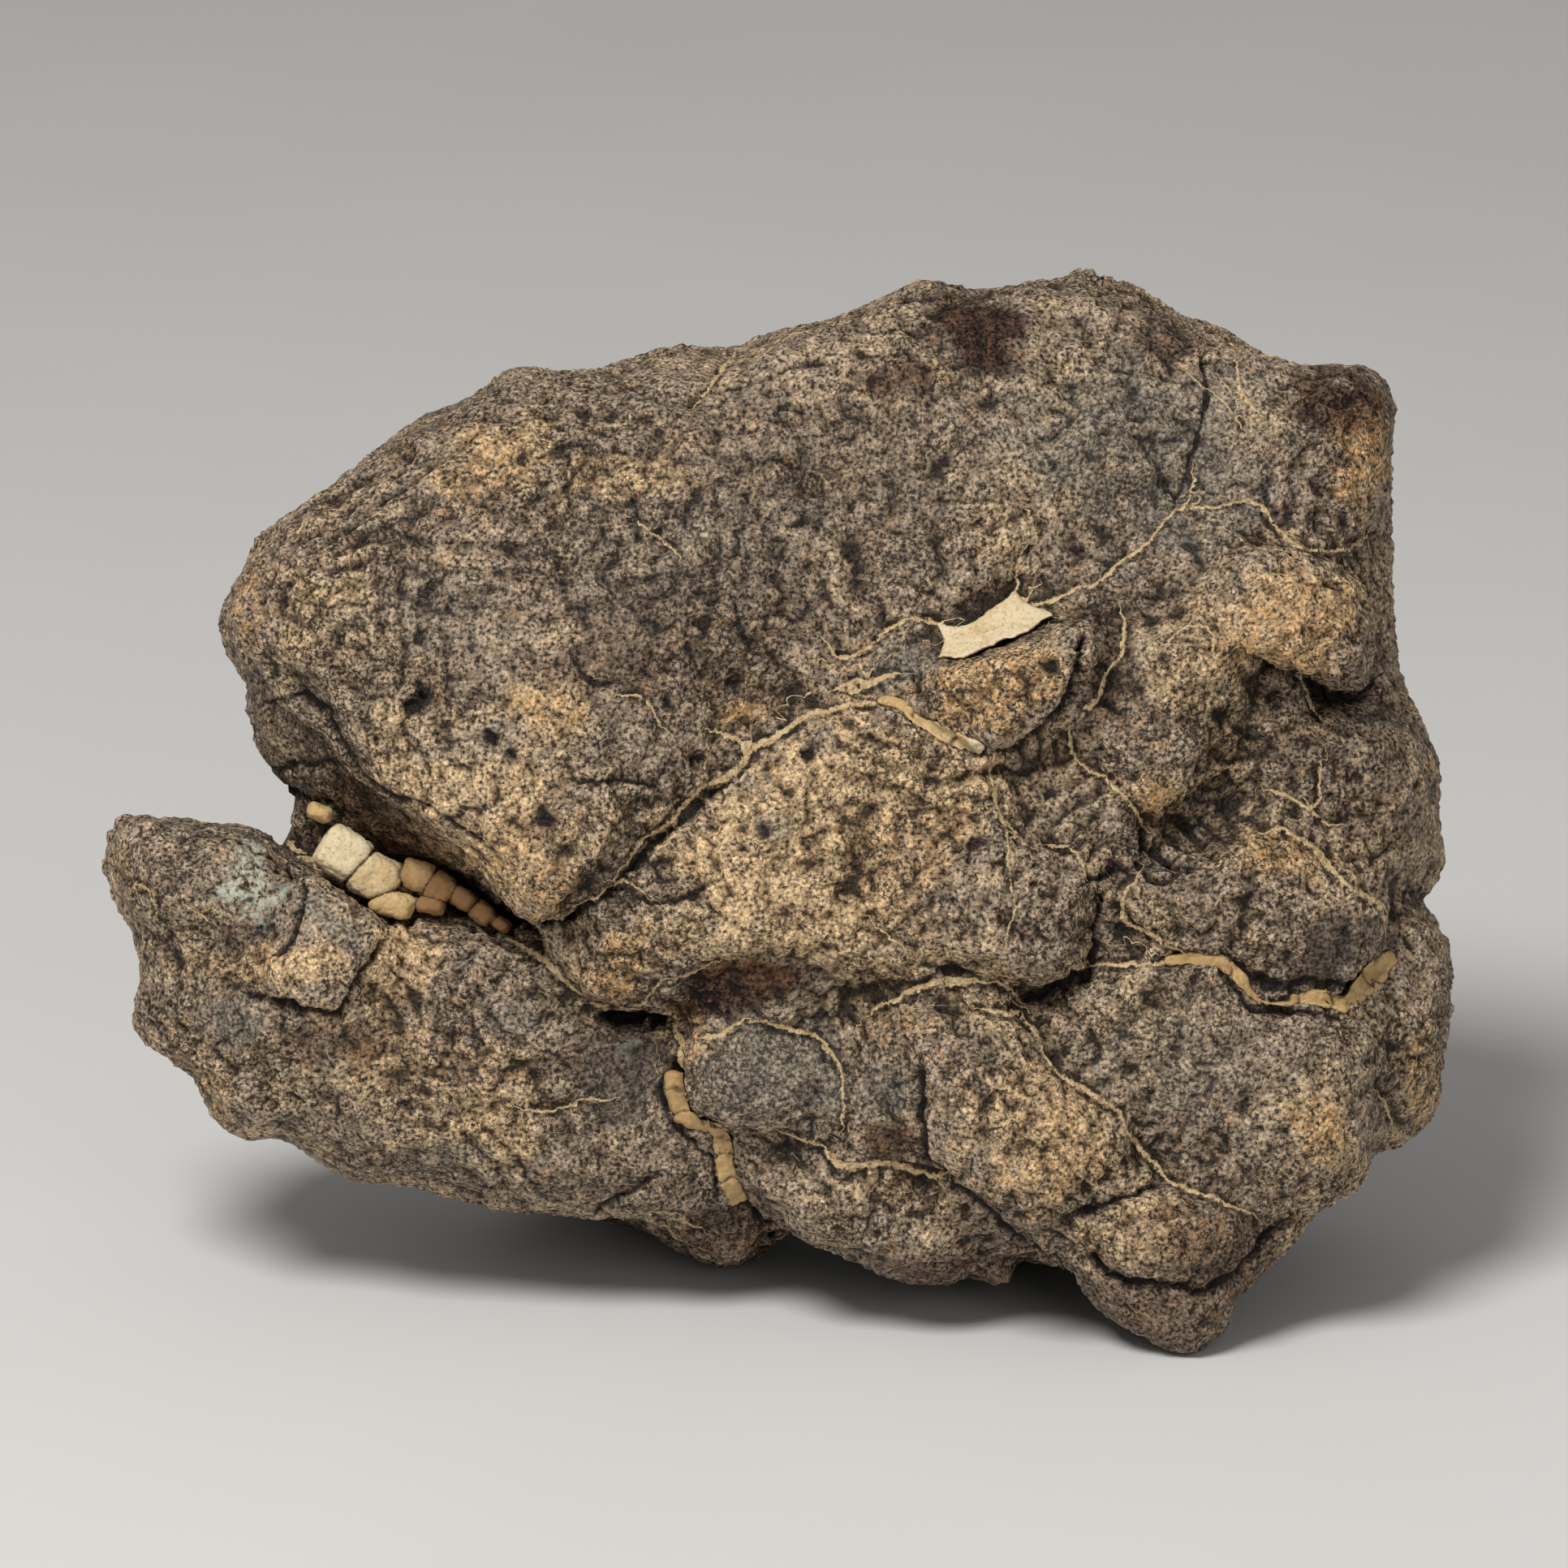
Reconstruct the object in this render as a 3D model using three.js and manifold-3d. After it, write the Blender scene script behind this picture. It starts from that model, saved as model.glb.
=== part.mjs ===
// A chondrite meteorite: one weathered stone of overlapping plates and pillows, with a lower left lobe
// behind an open fracture, and pale caliche grown in its widest cracks.
//
// Millimetres. The forms are laid out on the face of the stone, as seen from in front and a little above:
// x to the right, z up the face, y away from the viewer. FACE_LEAN tips the face back onto the ground.
import * as THREE from "three";
import { ImprovedNoise } from "three/addons/math/ImprovedNoise.js";
import { mergeVertices } from "three/addons/utils/BufferGeometryUtils.js";
import Module from "manifold-3d";

// The face leans back by this angle, and is drawn as seen from this distance along the sight line.
const FACE_LEAN = THREE.MathUtils.degToRad(16);
const EYE_DISTANCE = 900;
const SIGHT_X = 0.3;
const SIGHT_Z = 50.4;

// The stone stands on the tip at its lower right, a nub in the middle and a heel behind.
// Their undersides are worn flat by this much.
const TIP_DEPTH = -17;
const WORN_FLAT = 0.45;

// Neighbouring plates of the face run into each other by this much on each side.
const OVERLAP = 0.8;

// Height and spacing of the rough relief on every form, and the share of it that moves an outline.
const ROUGH_HEIGHT = 1.5;
const ROUGH_SPACING = 10;
const FINE_HEIGHT = 0.5;
const FINE_SPACING = 6;
const FINE_SHIFT = 7;
const RIM_RELIEF = 0.25;

// An outline's corners are rounded off behind, over twice this angle on each side. The rounding
// sets in between these shares of the way from the rim to the back.
const ROUNDING = THREE.MathUtils.degToRad(6);
const ROUNDING_FROM = 0.05;
const ROUNDING_TO = 0.3;

// How square a form is where it doesn't say: 2 is an ellipsoid, and more is flatter with a sharper rim.
const SQUARE = 2.6;

// Room between the caliche and the stone, and how far a seam of caliche stands proud of the stone.
const CALICHE_GAP = 0.35;
const CALICHE_PROUD = 0.35;

// Every cut through the face starts this far in front of the stone.
const IN_FRONT = -60;

// The ground is a block of this size, larger than the stone.
const GROUND_SIZE = 400;

// Points closer than WELD are one point, and a length or a share under TINY counts as none.
const WELD = 1e-4;
const TINY = 1e-9;

const wasm = await Module();
wasm.setup();
const noise = new ImprovedNoise();

// A closed three.js geometry as a solid that can be joined and cut.
function solidOf(geometry) {
  const bare = new THREE.BufferGeometry();
  bare.setAttribute("position", geometry.getAttribute("position"));
  if (geometry.index) bare.setIndex(geometry.index);
  const merged = mergeVertices(bare, WELD);
  return new wasm.Manifold(
    new wasm.Mesh({
      numProp: 3,
      vertProperties: new Float32Array(merged.attributes.position.array),
      triVerts: new Uint32Array(merged.index.array),
    }),
  );
}

// Rough relief at a point of the stone, of one or two millimetres.
function relief(x, y, z) {
  const coarse = noise.noise(x / ROUGH_SPACING, y / ROUGH_SPACING, z / ROUGH_SPACING);
  const fine = noise.noise(x / FINE_SPACING, y / FINE_SPACING + FINE_SHIFT, z / FINE_SPACING);
  return coarse * ROUGH_HEIGHT + fine * FINE_HEIGHT;
}

// A point drawn on the face at depth y, moved to where it really is along its line of sight.
function alongSight(x, y, z) {
  const share = (EYE_DISTANCE + y) / EYE_DISTANCE;
  return [SIGHT_X + (x - SIGHT_X) * share, y, SIGHT_Z + (z - SIGHT_Z) * share];
}

// How far the outline lies from its centre in a direction of the face.
function reach(outline, centre, angle) {
  const [dx, dz] = [Math.cos(angle), Math.sin(angle)];
  let farthest = 0;
  outline.forEach(([ax, az], i) => {
    const [bx, bz] = outline[(i + 1) % outline.length];
    const [ex, ez] = [bx - ax, bz - az];
    const across = dx * ez - dz * ex;
    if (Math.abs(across) < TINY) return;
    const [px, pz] = [ax - centre[0], az - centre[1]];
    const distance = (px * ez - pz * ex) / across;
    const along = (px * dz - pz * dx) / across;
    if (along >= -TINY && along <= 1 + TINY) farthest = Math.max(farthest, distance);
  });
  return farthest;
}

// The same, averaged over two directions on each side, so that corners are rounded off.
function roundedReach(outline, centre, angle) {
  const turns = [-2, -1, 0, 1, 2].map((step) => angle + step * ROUNDING);
  return turns.reduce((sum, turn) => sum + reach(outline, centre, turn), 0) / turns.length;
}

// The mean of an outline's points, which serves as its centre.
function middle(outline) {
  const sum = outline.reduce(([sx, sz], [x, z]) => [sx + x, sz + z], [0, 0]);
  return sum.map((value) => value / outline.length);
}

// A rounded form with the given outline on the face. It is widest at depth level, and swells from
// there by front towards the viewer and by back away from them. lean tips it: how much deeper it
// lies for each millimetre to the right and up. square above 2 flattens the front and sharpens its
// rim, and squareBack does so behind. facet is the size of its triangles, and rough scales the
// relief, most of which is square to the surface.
function pebble(form) {
  const { outline, level, front, back, lean = [0, 0], facet, grow = 0, rough = 1 } = form;
  const { square = SQUARE, squareBack = SQUARE } = form;
  const centre = middle(outline);
  const spokes = outline.map((_, i) => reach(outline, centre, (i / outline.length) * 2 * Math.PI));
  const radius = spokes.reduce((a, b) => a + b) / spokes.length;
  const cells = Math.max(1, Math.round(radius / facet));
  const ball = new THREE.BufferGeometry();
  ball.setAttribute("position", new THREE.IcosahedronGeometry(1, cells).getAttribute("position"));
  const geometry = mergeVertices(ball, WELD);
  const points = geometry.attributes.position;
  for (let i = 0; i < points.count; i++) {
    const [dx, dy, dz] = [points.getX(i), points.getY(i), points.getZ(i)];
    const flat = Math.hypot(dx, dz);
    const power = dy < 0 ? square : squareBack;
    const swell = (flat ** power + Math.abs(dy) ** power) ** (-1 / power);
    const angle = Math.atan2(dz, dx);
    const behind = THREE.MathUtils.smoothstep(dy, ROUNDING_FROM, ROUNDING_TO);
    const sharp = reach(outline, centre, angle);
    const blunt = roundedReach(outline, centre, angle);
    const out = ((1 - behind) * sharp + behind * blunt + grow) * swell;
    const [x, z] = [centre[0] + out * dx, centre[1] + out * dz];
    const tipped = lean[0] * (x - centre[0]) + lean[1] * (z - centre[1]);
    const y = level + tipped + dy * swell * ((dy < 0 ? front : back) + grow);
    // The outline itself is kept: the relief works sideways only on the far side.
    const bump = rough * relief(x, y, z);
    const sideways = bump * (RIM_RELIEF + (1 - RIM_RELIEF) * Math.max(0, dy));
    points.setXYZ(i, ...alongSight(x + dx * sideways, y + dy * bump, z + dz * sideways));
  }
  return solidOf(geometry);
}

// A straight-sided bar through the face: an outline pushed from one depth to another.
function bar(outline, from, to) {
  const shape = new THREE.Shape(outline.map(([x, z]) => new THREE.Vector2(x, z)));
  const geometry = new THREE.ExtrudeGeometry(shape, { depth: to - from, bevelEnabled: false });
  // The extrusion's own z becomes depth, so its y becomes height on the face.
  const swapped = new THREE.Matrix4().set(1, 0, 0, 0, 0, 0, 1, from, 0, 1, 0, 0, 0, 0, 0, 1);
  geometry.applyMatrix4(swapped);
  const points = geometry.attributes.position;
  for (let i = 0; i < points.count; i++) {
    points.setXYZ(i, ...alongSight(points.getX(i), points.getY(i), points.getZ(i)));
  }
  const moved = mergeVertices(new THREE.BufferGeometry().setAttribute("position", points), WELD);
  // Swapping two axes turned the faces inside out, and their corners in reverse order turn them back.
  moved.index.array.reverse();
  return solidOf(moved);
}

// The outline of a band along a path of [x, z, width] points, widened by grow on both sides.
function band(path, grow) {
  const sides = [[], []];
  path.forEach(([x, z, width], i) => {
    const [ax, az] = path[Math.max(0, i - 1)];
    const [bx, bz] = path[Math.min(path.length - 1, i + 1)];
    const length = Math.hypot(bx - ax, bz - az);
    const [tx, tz] = [(bx - ax) / length, (bz - az) / length];
    const half = width / 2 + grow;
    const end = i === 0 ? -grow : i === path.length - 1 ? grow : 0;
    sides[0].push([x - tz * half + tx * end, z + tx * half + tz * end]);
    sides[1].unshift([x + tz * half + tx * end, z - tx * half + tz * end]);
  });
  return [...sides[0], ...sides[1]];
}

// An outline with every edge moved out by grow, for an outline that runs clockwise.
function widened(outline, grow) {
  const count = outline.length;
  return outline.map(([x, z], i) => {
    const before = outline[(i + count - 1) % count];
    const after = outline[(i + 1) % count];
    const first = new THREE.Vector2(-(z - before[1]), x - before[0]).normalize();
    const second = new THREE.Vector2(-(after[1] - z), after[0] - x).normalize();
    const corner = first.clone().add(second);
    corner.multiplyScalar((2 * grow) / corner.lengthSq());
    return [x + corner.x, z + corner.y];
  });
}

// The mass of the stone and the forms that make its face, each an outline on the face.
const STONE_FORMS = [
  // The whole upper mass, from the fracture on the left round the top to the lower right.
  {
    outline: [
      [-42.2, 48.9], [-45.4, 52], [-46.8, 55.5], [-47.1, 58.5], [-49.2, 62], [-49.6, 65], [-48, 68.2],
      [-46.6, 72], [-42.3, 75], [-38, 78.1], [-33, 82], [-28, 84.2], [-25, 86.6], [-21.3, 87.3],
      [-15.6, 86.9], [-11.3, 88.7], [-6, 88.9], [-3, 89.2], [1, 90.6], [6, 92], [10.2, 93.7],
      [13, 95.1], [17, 93.9], [21, 94.6], [24.8, 95.2], [27, 96.2], [31.2, 94.5], [36, 91.7],
      [40, 90.1], [44, 88], [51.2, 87.5], [54.1, 85], [54, 75], [54, 63], [55.9, 57.3], [58, 52],
      [58.5, 44.5], [56.8, 40.6], [55.2, 37], [54, 28], [52.3, 17.5], [50.8, 14.4], [46, 11],
      [42, 8], [36, 6], [28, 8], [20, 10], [12, 9], [5, 11], [-2, 14], [-8, 19], [-14, 26],
      [-20, 34], [-25.5, 39.6], [-28.7, 42.6], [-33, 43.9], [-37.3, 45.4],
    ],
    level: 3, front: 17.5, back: 25, lean: [0, 0.1], square: 3.3, facet: 6.3,
  },
  // The big upper plate, whose lower left edge overhangs the lobe, and its smaller neighbour at the right.
  {
    outline: [
      [-38, 57.5], [-46, 59.4], [-48.6, 62.2], [-49.2, 65], [-47.6, 68.3], [-46.2, 71.8], [-42, 74.8],
      [-38, 77.8], [-33, 81.7], [-28, 83.9], [-25, 86.2], [-21, 86.9], [-15.6, 86.5], [-11, 88.2],
      [-6, 88.5], [-3, 88.8], [1, 90.2], [6, 91.5], [10.2, 93.2], [13, 94.5], [17, 93.3], [21, 94],
      [24.6, 94.5], [27, 95.4], [31, 93.8], [36, 91.2], [39, 88.8], [38.4, 83], [37, 78], [35, 74.9],
      [32.4, 71.2], [27, 67.6], [22, 66], [18, 63.5], [13, 60.5], [8, 57.6], [2, 56.6], [-3, 53.4],
      [-9, 47.8], [-12.3, 44.4], [-14, 41.4], [-18.5, 38.9], [-22, 37.6], [-24.2, 39.2], [-27, 44],
      [-33, 48], [-37, 51], [-38.6, 54],
    ],
    level: -7, front: 10.5, back: 12, lean: [0.03, 0.24], square: 4, facet: 6.3,
  },
  {
    outline: [
      [37, 89.6], [40, 89.6], [44, 87.7], [51, 87.2], [53.8, 84.8], [53.7, 79], [53.6, 72.6],
      [50, 71.4], [45.6, 71.8], [42.6, 74.8], [39.4, 75.4], [36.4, 75.2], [37.4, 79], [38, 84],
    ],
    level: -3.5, front: 8.5, back: 9, lean: [0.24, 0.26], square: 3.6, facet: 5.2,
  },
  // The central plate, a tongue that overhangs the lower pillows.
  {
    outline: [
      [-20.5, 37], [-15.5, 39.6], [-13, 42.2], [-10, 46.4], [-5, 50.8], [-2, 54], [2, 56.3],
      [6, 57.2], [10, 57.4], [14, 55], [18.6, 52.4], [19.4, 49], [22, 45.6], [26, 44.6],
      [27.6, 42], [28.3, 38], [27.4, 35], [25.3, 33], [22, 31.6], [18.5, 33], [14.5, 34.2],
      [10, 33.3], [4, 34], [1.5, 35.4], [-4, 34.9], [-7.5, 33.6], [-10.3, 31.6], [-12.3, 30.6],
      [-15.2, 31], [-18.4, 32.8],
    ],
    grow: OVERLAP, level: -13, front: 8, back: 8, lean: [-0.03, 0.02], square: 4, facet: 4.3,
  },
  // The wedge that stands proud in the middle.
  {
    outline: [
      [11.8, 59], [14.2, 60.9], [18.6, 62.5], [23.5, 64.1], [28, 65.4], [29.3, 64], [28.3, 61],
      [26.2, 57.4], [24.2, 55.2], [21.6, 53.7], [19.2, 53], [15.4, 55.1], [13, 57.1],
    ],
    grow: OVERLAP, level: -17, front: 6, back: 6, lean: [-0.12, 0.1], square: 3.6, facet: 3.6,
  },
  // The plate to the right of the wedge.
  {
    outline: [
      [30.6, 63.8], [33.5, 64.8], [38, 64.6], [40, 61], [39.3, 56], [37, 51.5], [34.8, 47.8],
      [32, 48], [28.6, 50.8], [26, 54.4], [28.6, 57.6], [30, 60.6],
    ],
    grow: OVERLAP, level: -12.5, front: 6.8, back: 6, lean: [0.08, 0.03], square: 3.8, facet: 4,
  },
  // The orange pillow near the right edge.
  {
    outline: [
      [33, 66], [35.5, 69.6], [38.6, 71.8], [43, 72], [48, 70.8], [51.8, 68], [53.4, 64],
      [53, 60.8], [50.8, 58.6], [48, 58.4], [45.2, 60], [42, 61.2], [38.8, 62], [35, 63],
    ],
    level: -10.5, front: 8.5, back: 8, lean: [0.22, 0.06], square: 3.2, facet: 3.9,
  },
  // The shoulder between the upper plates and the pillow.
  {
    outline: [
      [21.6, 64.6], [24, 67.6], [30, 71.4], [34.6, 76], [41, 76.4], [46, 73], [45, 69], [38, 66.4],
      [32, 63], [26, 62.6],
    ],
    level: -9.5, front: 6.2, back: 6, lean: [0.2, 0.12], square: 4, facet: 4.3,
  },
  // The rust-coloured edge above it and the dark corner at the upper right.
  {
    outline: [
      [46, 75.5], [46.4, 80], [48.5, 83.5], [52, 83.6], [53.8, 80], [53.9, 75], [52.4, 72.6], [48.5, 72.8],
    ],
    level: -2, front: 9, back: 8, lean: [0.3, 0.1], facet: 3.6,
  },
  {
    outline: [
      [43, 84.4], [44.4, 87.4], [48, 87.5], [51.8, 87.2], [54, 84.8], [53.4, 82.4], [49, 81.4], [45, 82],
    ],
    level: 1, front: 8, back: 9, lean: [0.2, 0.2], facet: 3.6,
  },
  // The flank between the pillow and the knob.
  {
    outline: [
      [38, 56], [43, 58.8], [49.5, 57.4], [55.2, 56.6], [57.6, 52.4], [58.3, 45], [57.2, 41.6],
      [53.8, 41], [50, 42.6], [45.6, 46], [41, 48.2], [37.2, 50.4],
    ],
    level: -3.5, front: 10.5, back: 10, lean: [0.3, 0.04], square: 3.4, facet: 4.3,
  },
  // The plate with the dark patch, overhanging the right seam.
  {
    outline: [
      [30.2, 39], [30.8, 42.2], [34, 43.4], [38, 44.8], [42.4, 46.8], [46, 45.8], [49.4, 42.6],
      [52.6, 40.4], [53.8, 38.2], [51.8, 35.4], [50.2, 33.4], [48.4, 32.4], [45, 33.6],
      [41.8, 34.2], [39.6, 36.2], [36, 36.4], [32.4, 37.4],
    ],
    grow: OVERLAP, level: -11.5, front: 7.3, back: 7, lean: [0.1, -0.02], square: 3.6, facet: 4,
  },
  // The floor between the central plate and its right-hand neighbours.
  {
    outline: [
      [20.4, 47.6], [21, 52.6], [25.4, 54.4], [29, 51], [32.8, 47.4], [34, 44], [30.6, 42.4],
      [28.6, 44], [24, 45],
    ],
    grow: OVERLAP, level: -12, front: 5.4, back: 6, square: 4, facet: 4.3,
  },
  // The lower right plate.
  {
    outline: [
      [22.4, 30.4], [27.2, 33.2], [31, 34.4], [36, 34.6], [40, 33.2], [42.4, 31], [46, 31],
      [50.4, 30.4], [51.8, 26], [52.1, 20], [51.8, 16.4], [49.6, 14], [45.6, 11.4], [42, 12.4],
      [37, 15], [32.6, 17.6], [29.6, 21.4], [26.4, 24.4], [23.6, 26.6],
    ],
    grow: OVERLAP, level: -10, front: 8.8, back: 9, lean: [0.06, -0.02], square: 3.8, facet: 4,
  },
  // The ridge, a long pillow that runs down to the right.
  {
    outline: [
      [6, 26.4], [8, 29.6], [12, 31.2], [16, 31], [19.6, 30.4], [22.6, 27.4], [26, 24.2],
      [29.4, 21.2], [31.6, 18.4], [32.4, 16.2], [30.8, 14.6], [27.6, 13.6], [26.6, 11],
      [25.6, 9.4], [23, 10.4], [20.6, 11.8], [17, 14.4], [14.6, 16.2], [12.6, 17.6],
      [12.4, 21], [12, 24.6],
    ],
    grow: OVERLAP, level: -13.5, front: 8.2, back: 8, lean: [0, -0.02], square: 3, facet: 4,
  },
  // The grey hollow pillow left of the ridge.
  {
    outline: [
      [4.8, 27], [9, 27.6], [13.4, 26], [13.4, 19], [12, 17.2], [8, 17.6], [5.4, 19.4], [5.2, 23.4],
    ],
    grow: OVERLAP, level: -12, front: 5.2, back: 6, square: 3.6, facet: 4,
  },
  // The small pillow under the central plate, and the smooth underside between them.
  {
    outline: [
      [-8, 27.6], [-5, 29], [-1, 28.9], [3, 28], [5, 26.2], [5.5, 23], [5.4, 20.4], [3, 19.8],
      [-1, 20.4], [-4.4, 20.8], [-6.8, 21.4], [-8.3, 24.2],
    ],
    grow: OVERLAP, level: -11, front: 6.2, back: 7, square: 3, facet: 3.9,
  },
  {
    outline: [[-10, 31.4], [-4, 35], [2, 36], [6, 34], [6, 29.5], [0, 29.6], [-6, 29.6]],
    grow: OVERLAP, level: -12.5, front: 4.4, back: 6, lean: [0, -0.35], square: 3.6, facet: 4.3,
  },
  // The bottom pillow, almost touching the ground.
  {
    outline: [
      [-3.4, 14], [-4.2, 17], [-3.8, 20], [0, 19.7], [3.6, 19], [6, 17.2], [10, 16.8], [14, 15.6],
      [17, 13.4], [19.6, 11.8], [21.4, 10], [20.9, 8.5], [20.4, 6.9], [17, 6.9], [14.9, 6.2],
      [11.3, 6.4], [7, 8], [3, 9.8], [0, 11.4],
    ],
    level: -3, front: 13, back: 14, lean: [0.05, 0.25], square: 3.2, facet: 4.3,
  },
  // The pad above the tip, and the tip that the stone stands on.
  {
    outline: [
      [27.2, 10], [27.8, 12.2], [30, 14.2], [33.2, 15.3], [36.6, 15], [40.2, 13.4], [42.2, 11.8],
      [42.4, 9.8], [40.8, 8], [38, 6.7], [34.5, 6.3], [31, 6.4], [28.6, 7.7],
    ],
    level: -15.5, front: 5.6, back: 7, lean: [0.05, 0.05], square: 3.2, facet: 3.6,
  },
  {
    outline: [
      [22, 11.4], [26.4, 7], [27, 4.6], [28.8, 3.4], [32.7, 1.1], [34.3, 0.1], [35.8, -0.4],
      [37.2, 0.4], [38.6, 1.7], [40, 4.3], [42.6, 7.2], [45.6, 10.2], [47, 13.4], [36, 14], [26, 14],
    ],
    level: -13, front: 5.4, back: 11, lean: [0.1, 0.08], square: 3.4, facet: 3.9,
  },
  // The knob at the right edge.
  {
    outline: [
      [52.4, 18.3], [54.1, 18], [56.3, 20], [57.9, 21.8], [58.5, 25.9], [59.3, 30.9], [59.2, 34.2],
      [58.5, 37], [57, 38.5], [54, 38.8], [50, 37], [47, 33], [46, 28], [48, 22],
    ],
    level: 0, front: 11, back: 13, lean: [0.12, 0.05], square: 2.8, facet: 4.3,
  },
  // The lower left lobe.
  {
    outline: [
      [-43.8, 44.9], [-47.3, 46.6], [-51, 45.6], [-55, 46.4], [-58.2, 46.6], [-59, 43], [-58.4, 39],
      [-56.8, 35.4], [-57, 29.3], [-54.4, 26.6], [-51.3, 23.8], [-49.6, 20.3], [-46.2, 18.7],
      [-43.4, 19], [-40, 16.6], [-36.6, 15.2], [-31, 14.3], [-26, 12.9], [-20, 12.4], [-13.6, 11.6],
      [-8.6, 10.4], [-3, 12], [1, 17], [0, 24], [-6, 31], [-14, 34.6], [-21, 37.4], [-25.4, 39],
      [-28.9, 39.9], [-33, 39.3], [-36.6, 39.8], [-40.1, 42.8],
    ],
    level: 0, front: 12, back: 17, lean: [-0.06, 0.04], square: 3.2, facet: 5.2,
  },
  // The stone that joins it to the upper mass behind the fracture.
  {
    outline: [[-42.6, 47.6], [-38, 52], [-26, 48], [-16, 42], [-17, 34], [-28, 32], [-40, 36], [-44, 42]],
    level: 8, front: 10, back: 10, square: 3, facet: 5.4,
  },
  // Its left end, with a blunt horn at the top.
  {
    outline: [
      [-59, 46.4], [-58, 47.8], [-54.4, 47.1], [-50.6, 46.1], [-47, 46.9], [-44.6, 46], [-43.4, 43.4],
      [-43.4, 39], [-44.6, 36], [-48, 34.8], [-53, 34.4], [-56.8, 36.6], [-58.4, 38.8], [-59.1, 42],
    ],
    level: 0.5, front: 10.5, back: 11, lean: [-0.12, 0.06], square: 3, facet: 4.3,
  },
  // The facet beside the fracture, which ends in a ledge.
  {
    outline: [
      [-42.8, 43.8], [-40, 42.6], [-36.6, 39.6], [-33.6, 37.4], [-35.4, 33], [-37.4, 30.2],
      [-42, 29.8], [-47.6, 31.6], [-46, 35.2], [-43.6, 38.6],
    ],
    level: -9.5, front: 4.2, back: 6, lean: [-0.1, 0.02], square: 4, facet: 4,
  },
  // The lower left corner of the lobe.
  {
    outline: [
      [-56.6, 34.4], [-57.3, 29.2], [-54.5, 26.5], [-51.4, 23.6], [-49.7, 20.2], [-46.2, 18.6],
      [-43.4, 19.1], [-42, 24], [-43.6, 30], [-50, 33.6],
    ],
    level: 0, front: 9, back: 11, lean: [-0.12, 0.1], square: 3, facet: 4,
  },
  // The nub under the lobe, the second foot.
  {
    outline: [
      [-13.7, 11.6], [-9.4, 9.4], [-7.2, 8.3], [-4.6, 7.6], [-2.2, 8.3], [-0.2, 10], [2, 13], [-2, 17],
      [-9, 17], [-14, 15],
    ],
    level: 9, front: 14, back: 11, lean: [0, 0.1], square: 2.8, facet: 4.3,
  },
  // A chip of stone wedged in the mouth of the fracture.
  {
    outline: [
      [-44.2, 48.2], [-42.4, 48.8], [-39.6, 48.4], [-38.6, 47.4], [-39.8, 46], [-42.6, 45.4], [-44.2, 46.4],
    ],
    level: -3, front: 5, back: 7, square: 3, facet: 1.8, rough: 0.4,
  },
  // Behind: shelves round the top and the sides.
  {
    outline: [
      [-36, 73], [-27, 81.6], [-10, 86.4], [8, 90], [26, 93], [38, 88.4], [40, 78], [20, 75], [-10, 72],
      [-28, 67],
    ],
    level: 12, front: 8, back: 11.5, lean: [0.04, 0], square: 3.4, facet: 6.3,
  },
  {
    outline: [
      [37, 80], [48, 85.4], [52.6, 80], [52.4, 62], [55.6, 53], [56, 45], [50, 39], [40, 44], [35, 60],
    ],
    level: 13, front: 9, back: 9, lean: [-0.06, 0], square: 3.4, facet: 6.3,
  },
  {
    outline: [
      [-45, 57], [-47.6, 65], [-44.6, 71], [-36, 75], [-25, 68], [-24, 54], [-34, 48], [-42, 50.6],
    ],
    level: 12, front: 9, back: 11, lean: [0.1, -0.05], square: 3.2, facet: 6.3,
  },
  {
    outline: [[36, 40], [46, 42], [53.6, 36], [53, 24], [49, 16.4], [41, 12], [33, 17], [30, 30]],
    level: 11, front: 9, back: 12, lean: [-0.08, 0.1], square: 3.2, facet: 6.3,
  },
  // Two broad plates with a step between them, and the back of the lobe.
  {
    outline: [
      [-31, 60], [-29, 71], [-14, 78], [6, 81], [24, 82], [34, 76], [37, 62], [27, 52], [6, 49],
      [-14, 51],
    ],
    level: 21, front: 8, back: 10.5, lean: [0.06, -0.1], square: 3, squareBack: 3.4, facet: 6.3,
  },
  {
    outline: [
      [-22, 30], [-25, 41], [-12, 50], [8, 54], [26, 50], [38, 42], [42, 30], [34, 20], [16, 17],
      [-6, 19],
    ],
    level: 20, front: 8, back: 10, lean: [-0.06, 0.1], square: 3, squareBack: 3.4, facet: 6.3,
  },
  {
    outline: [[-53, 30], [-54, 40], [-42, 42], [-26, 38], [-16, 32], [-14, 22], [-28, 19], [-44, 22]],
    level: 8.5, front: 8, back: 9.5, lean: [0.06, 0.04], square: 3, squareBack: 3, facet: 6.3,
  },
  // The heel, two lumps that the stone leans back on.
  {
    outline: [
      [-27, 17], [-24, 26], [-14, 33], [-2, 32], [4, 24], [3, 15], [-4, 11.6], [-13, 11.2], [-21, 13],
    ],
    level: 17, front: 14, back: 12, lean: [0, 0.15], square: 3, facet: 6.3,
  },
  {
    outline: [[6, 14], [4, 24], [12, 32], [26, 33], [36, 27], [36, 17], [28, 12], [16, 10.6]],
    level: 16, front: 14, back: 12.5, lean: [0, 0.15], square: 3, facet: 6.3,
  },
];

// The open fracture between the upper mass and the lobe, and the depths that it runs between.
const FRACTURE = [
  [-52, 53], [-45.4, 51.2], [-42.2, 48.7], [-37.3, 45.1], [-33, 43.7], [-28.7, 42.3], [-25, 39.2],
  [-28.7, 40.1], [-33, 39.4], [-36.6, 39.9], [-40.1, 43], [-43.4, 44.9], [-44.6, 46.3], [-52, 48],
];
const FRACTURE_FROM = -30;
const FRACTURE_FLOOR = 0;

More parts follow.
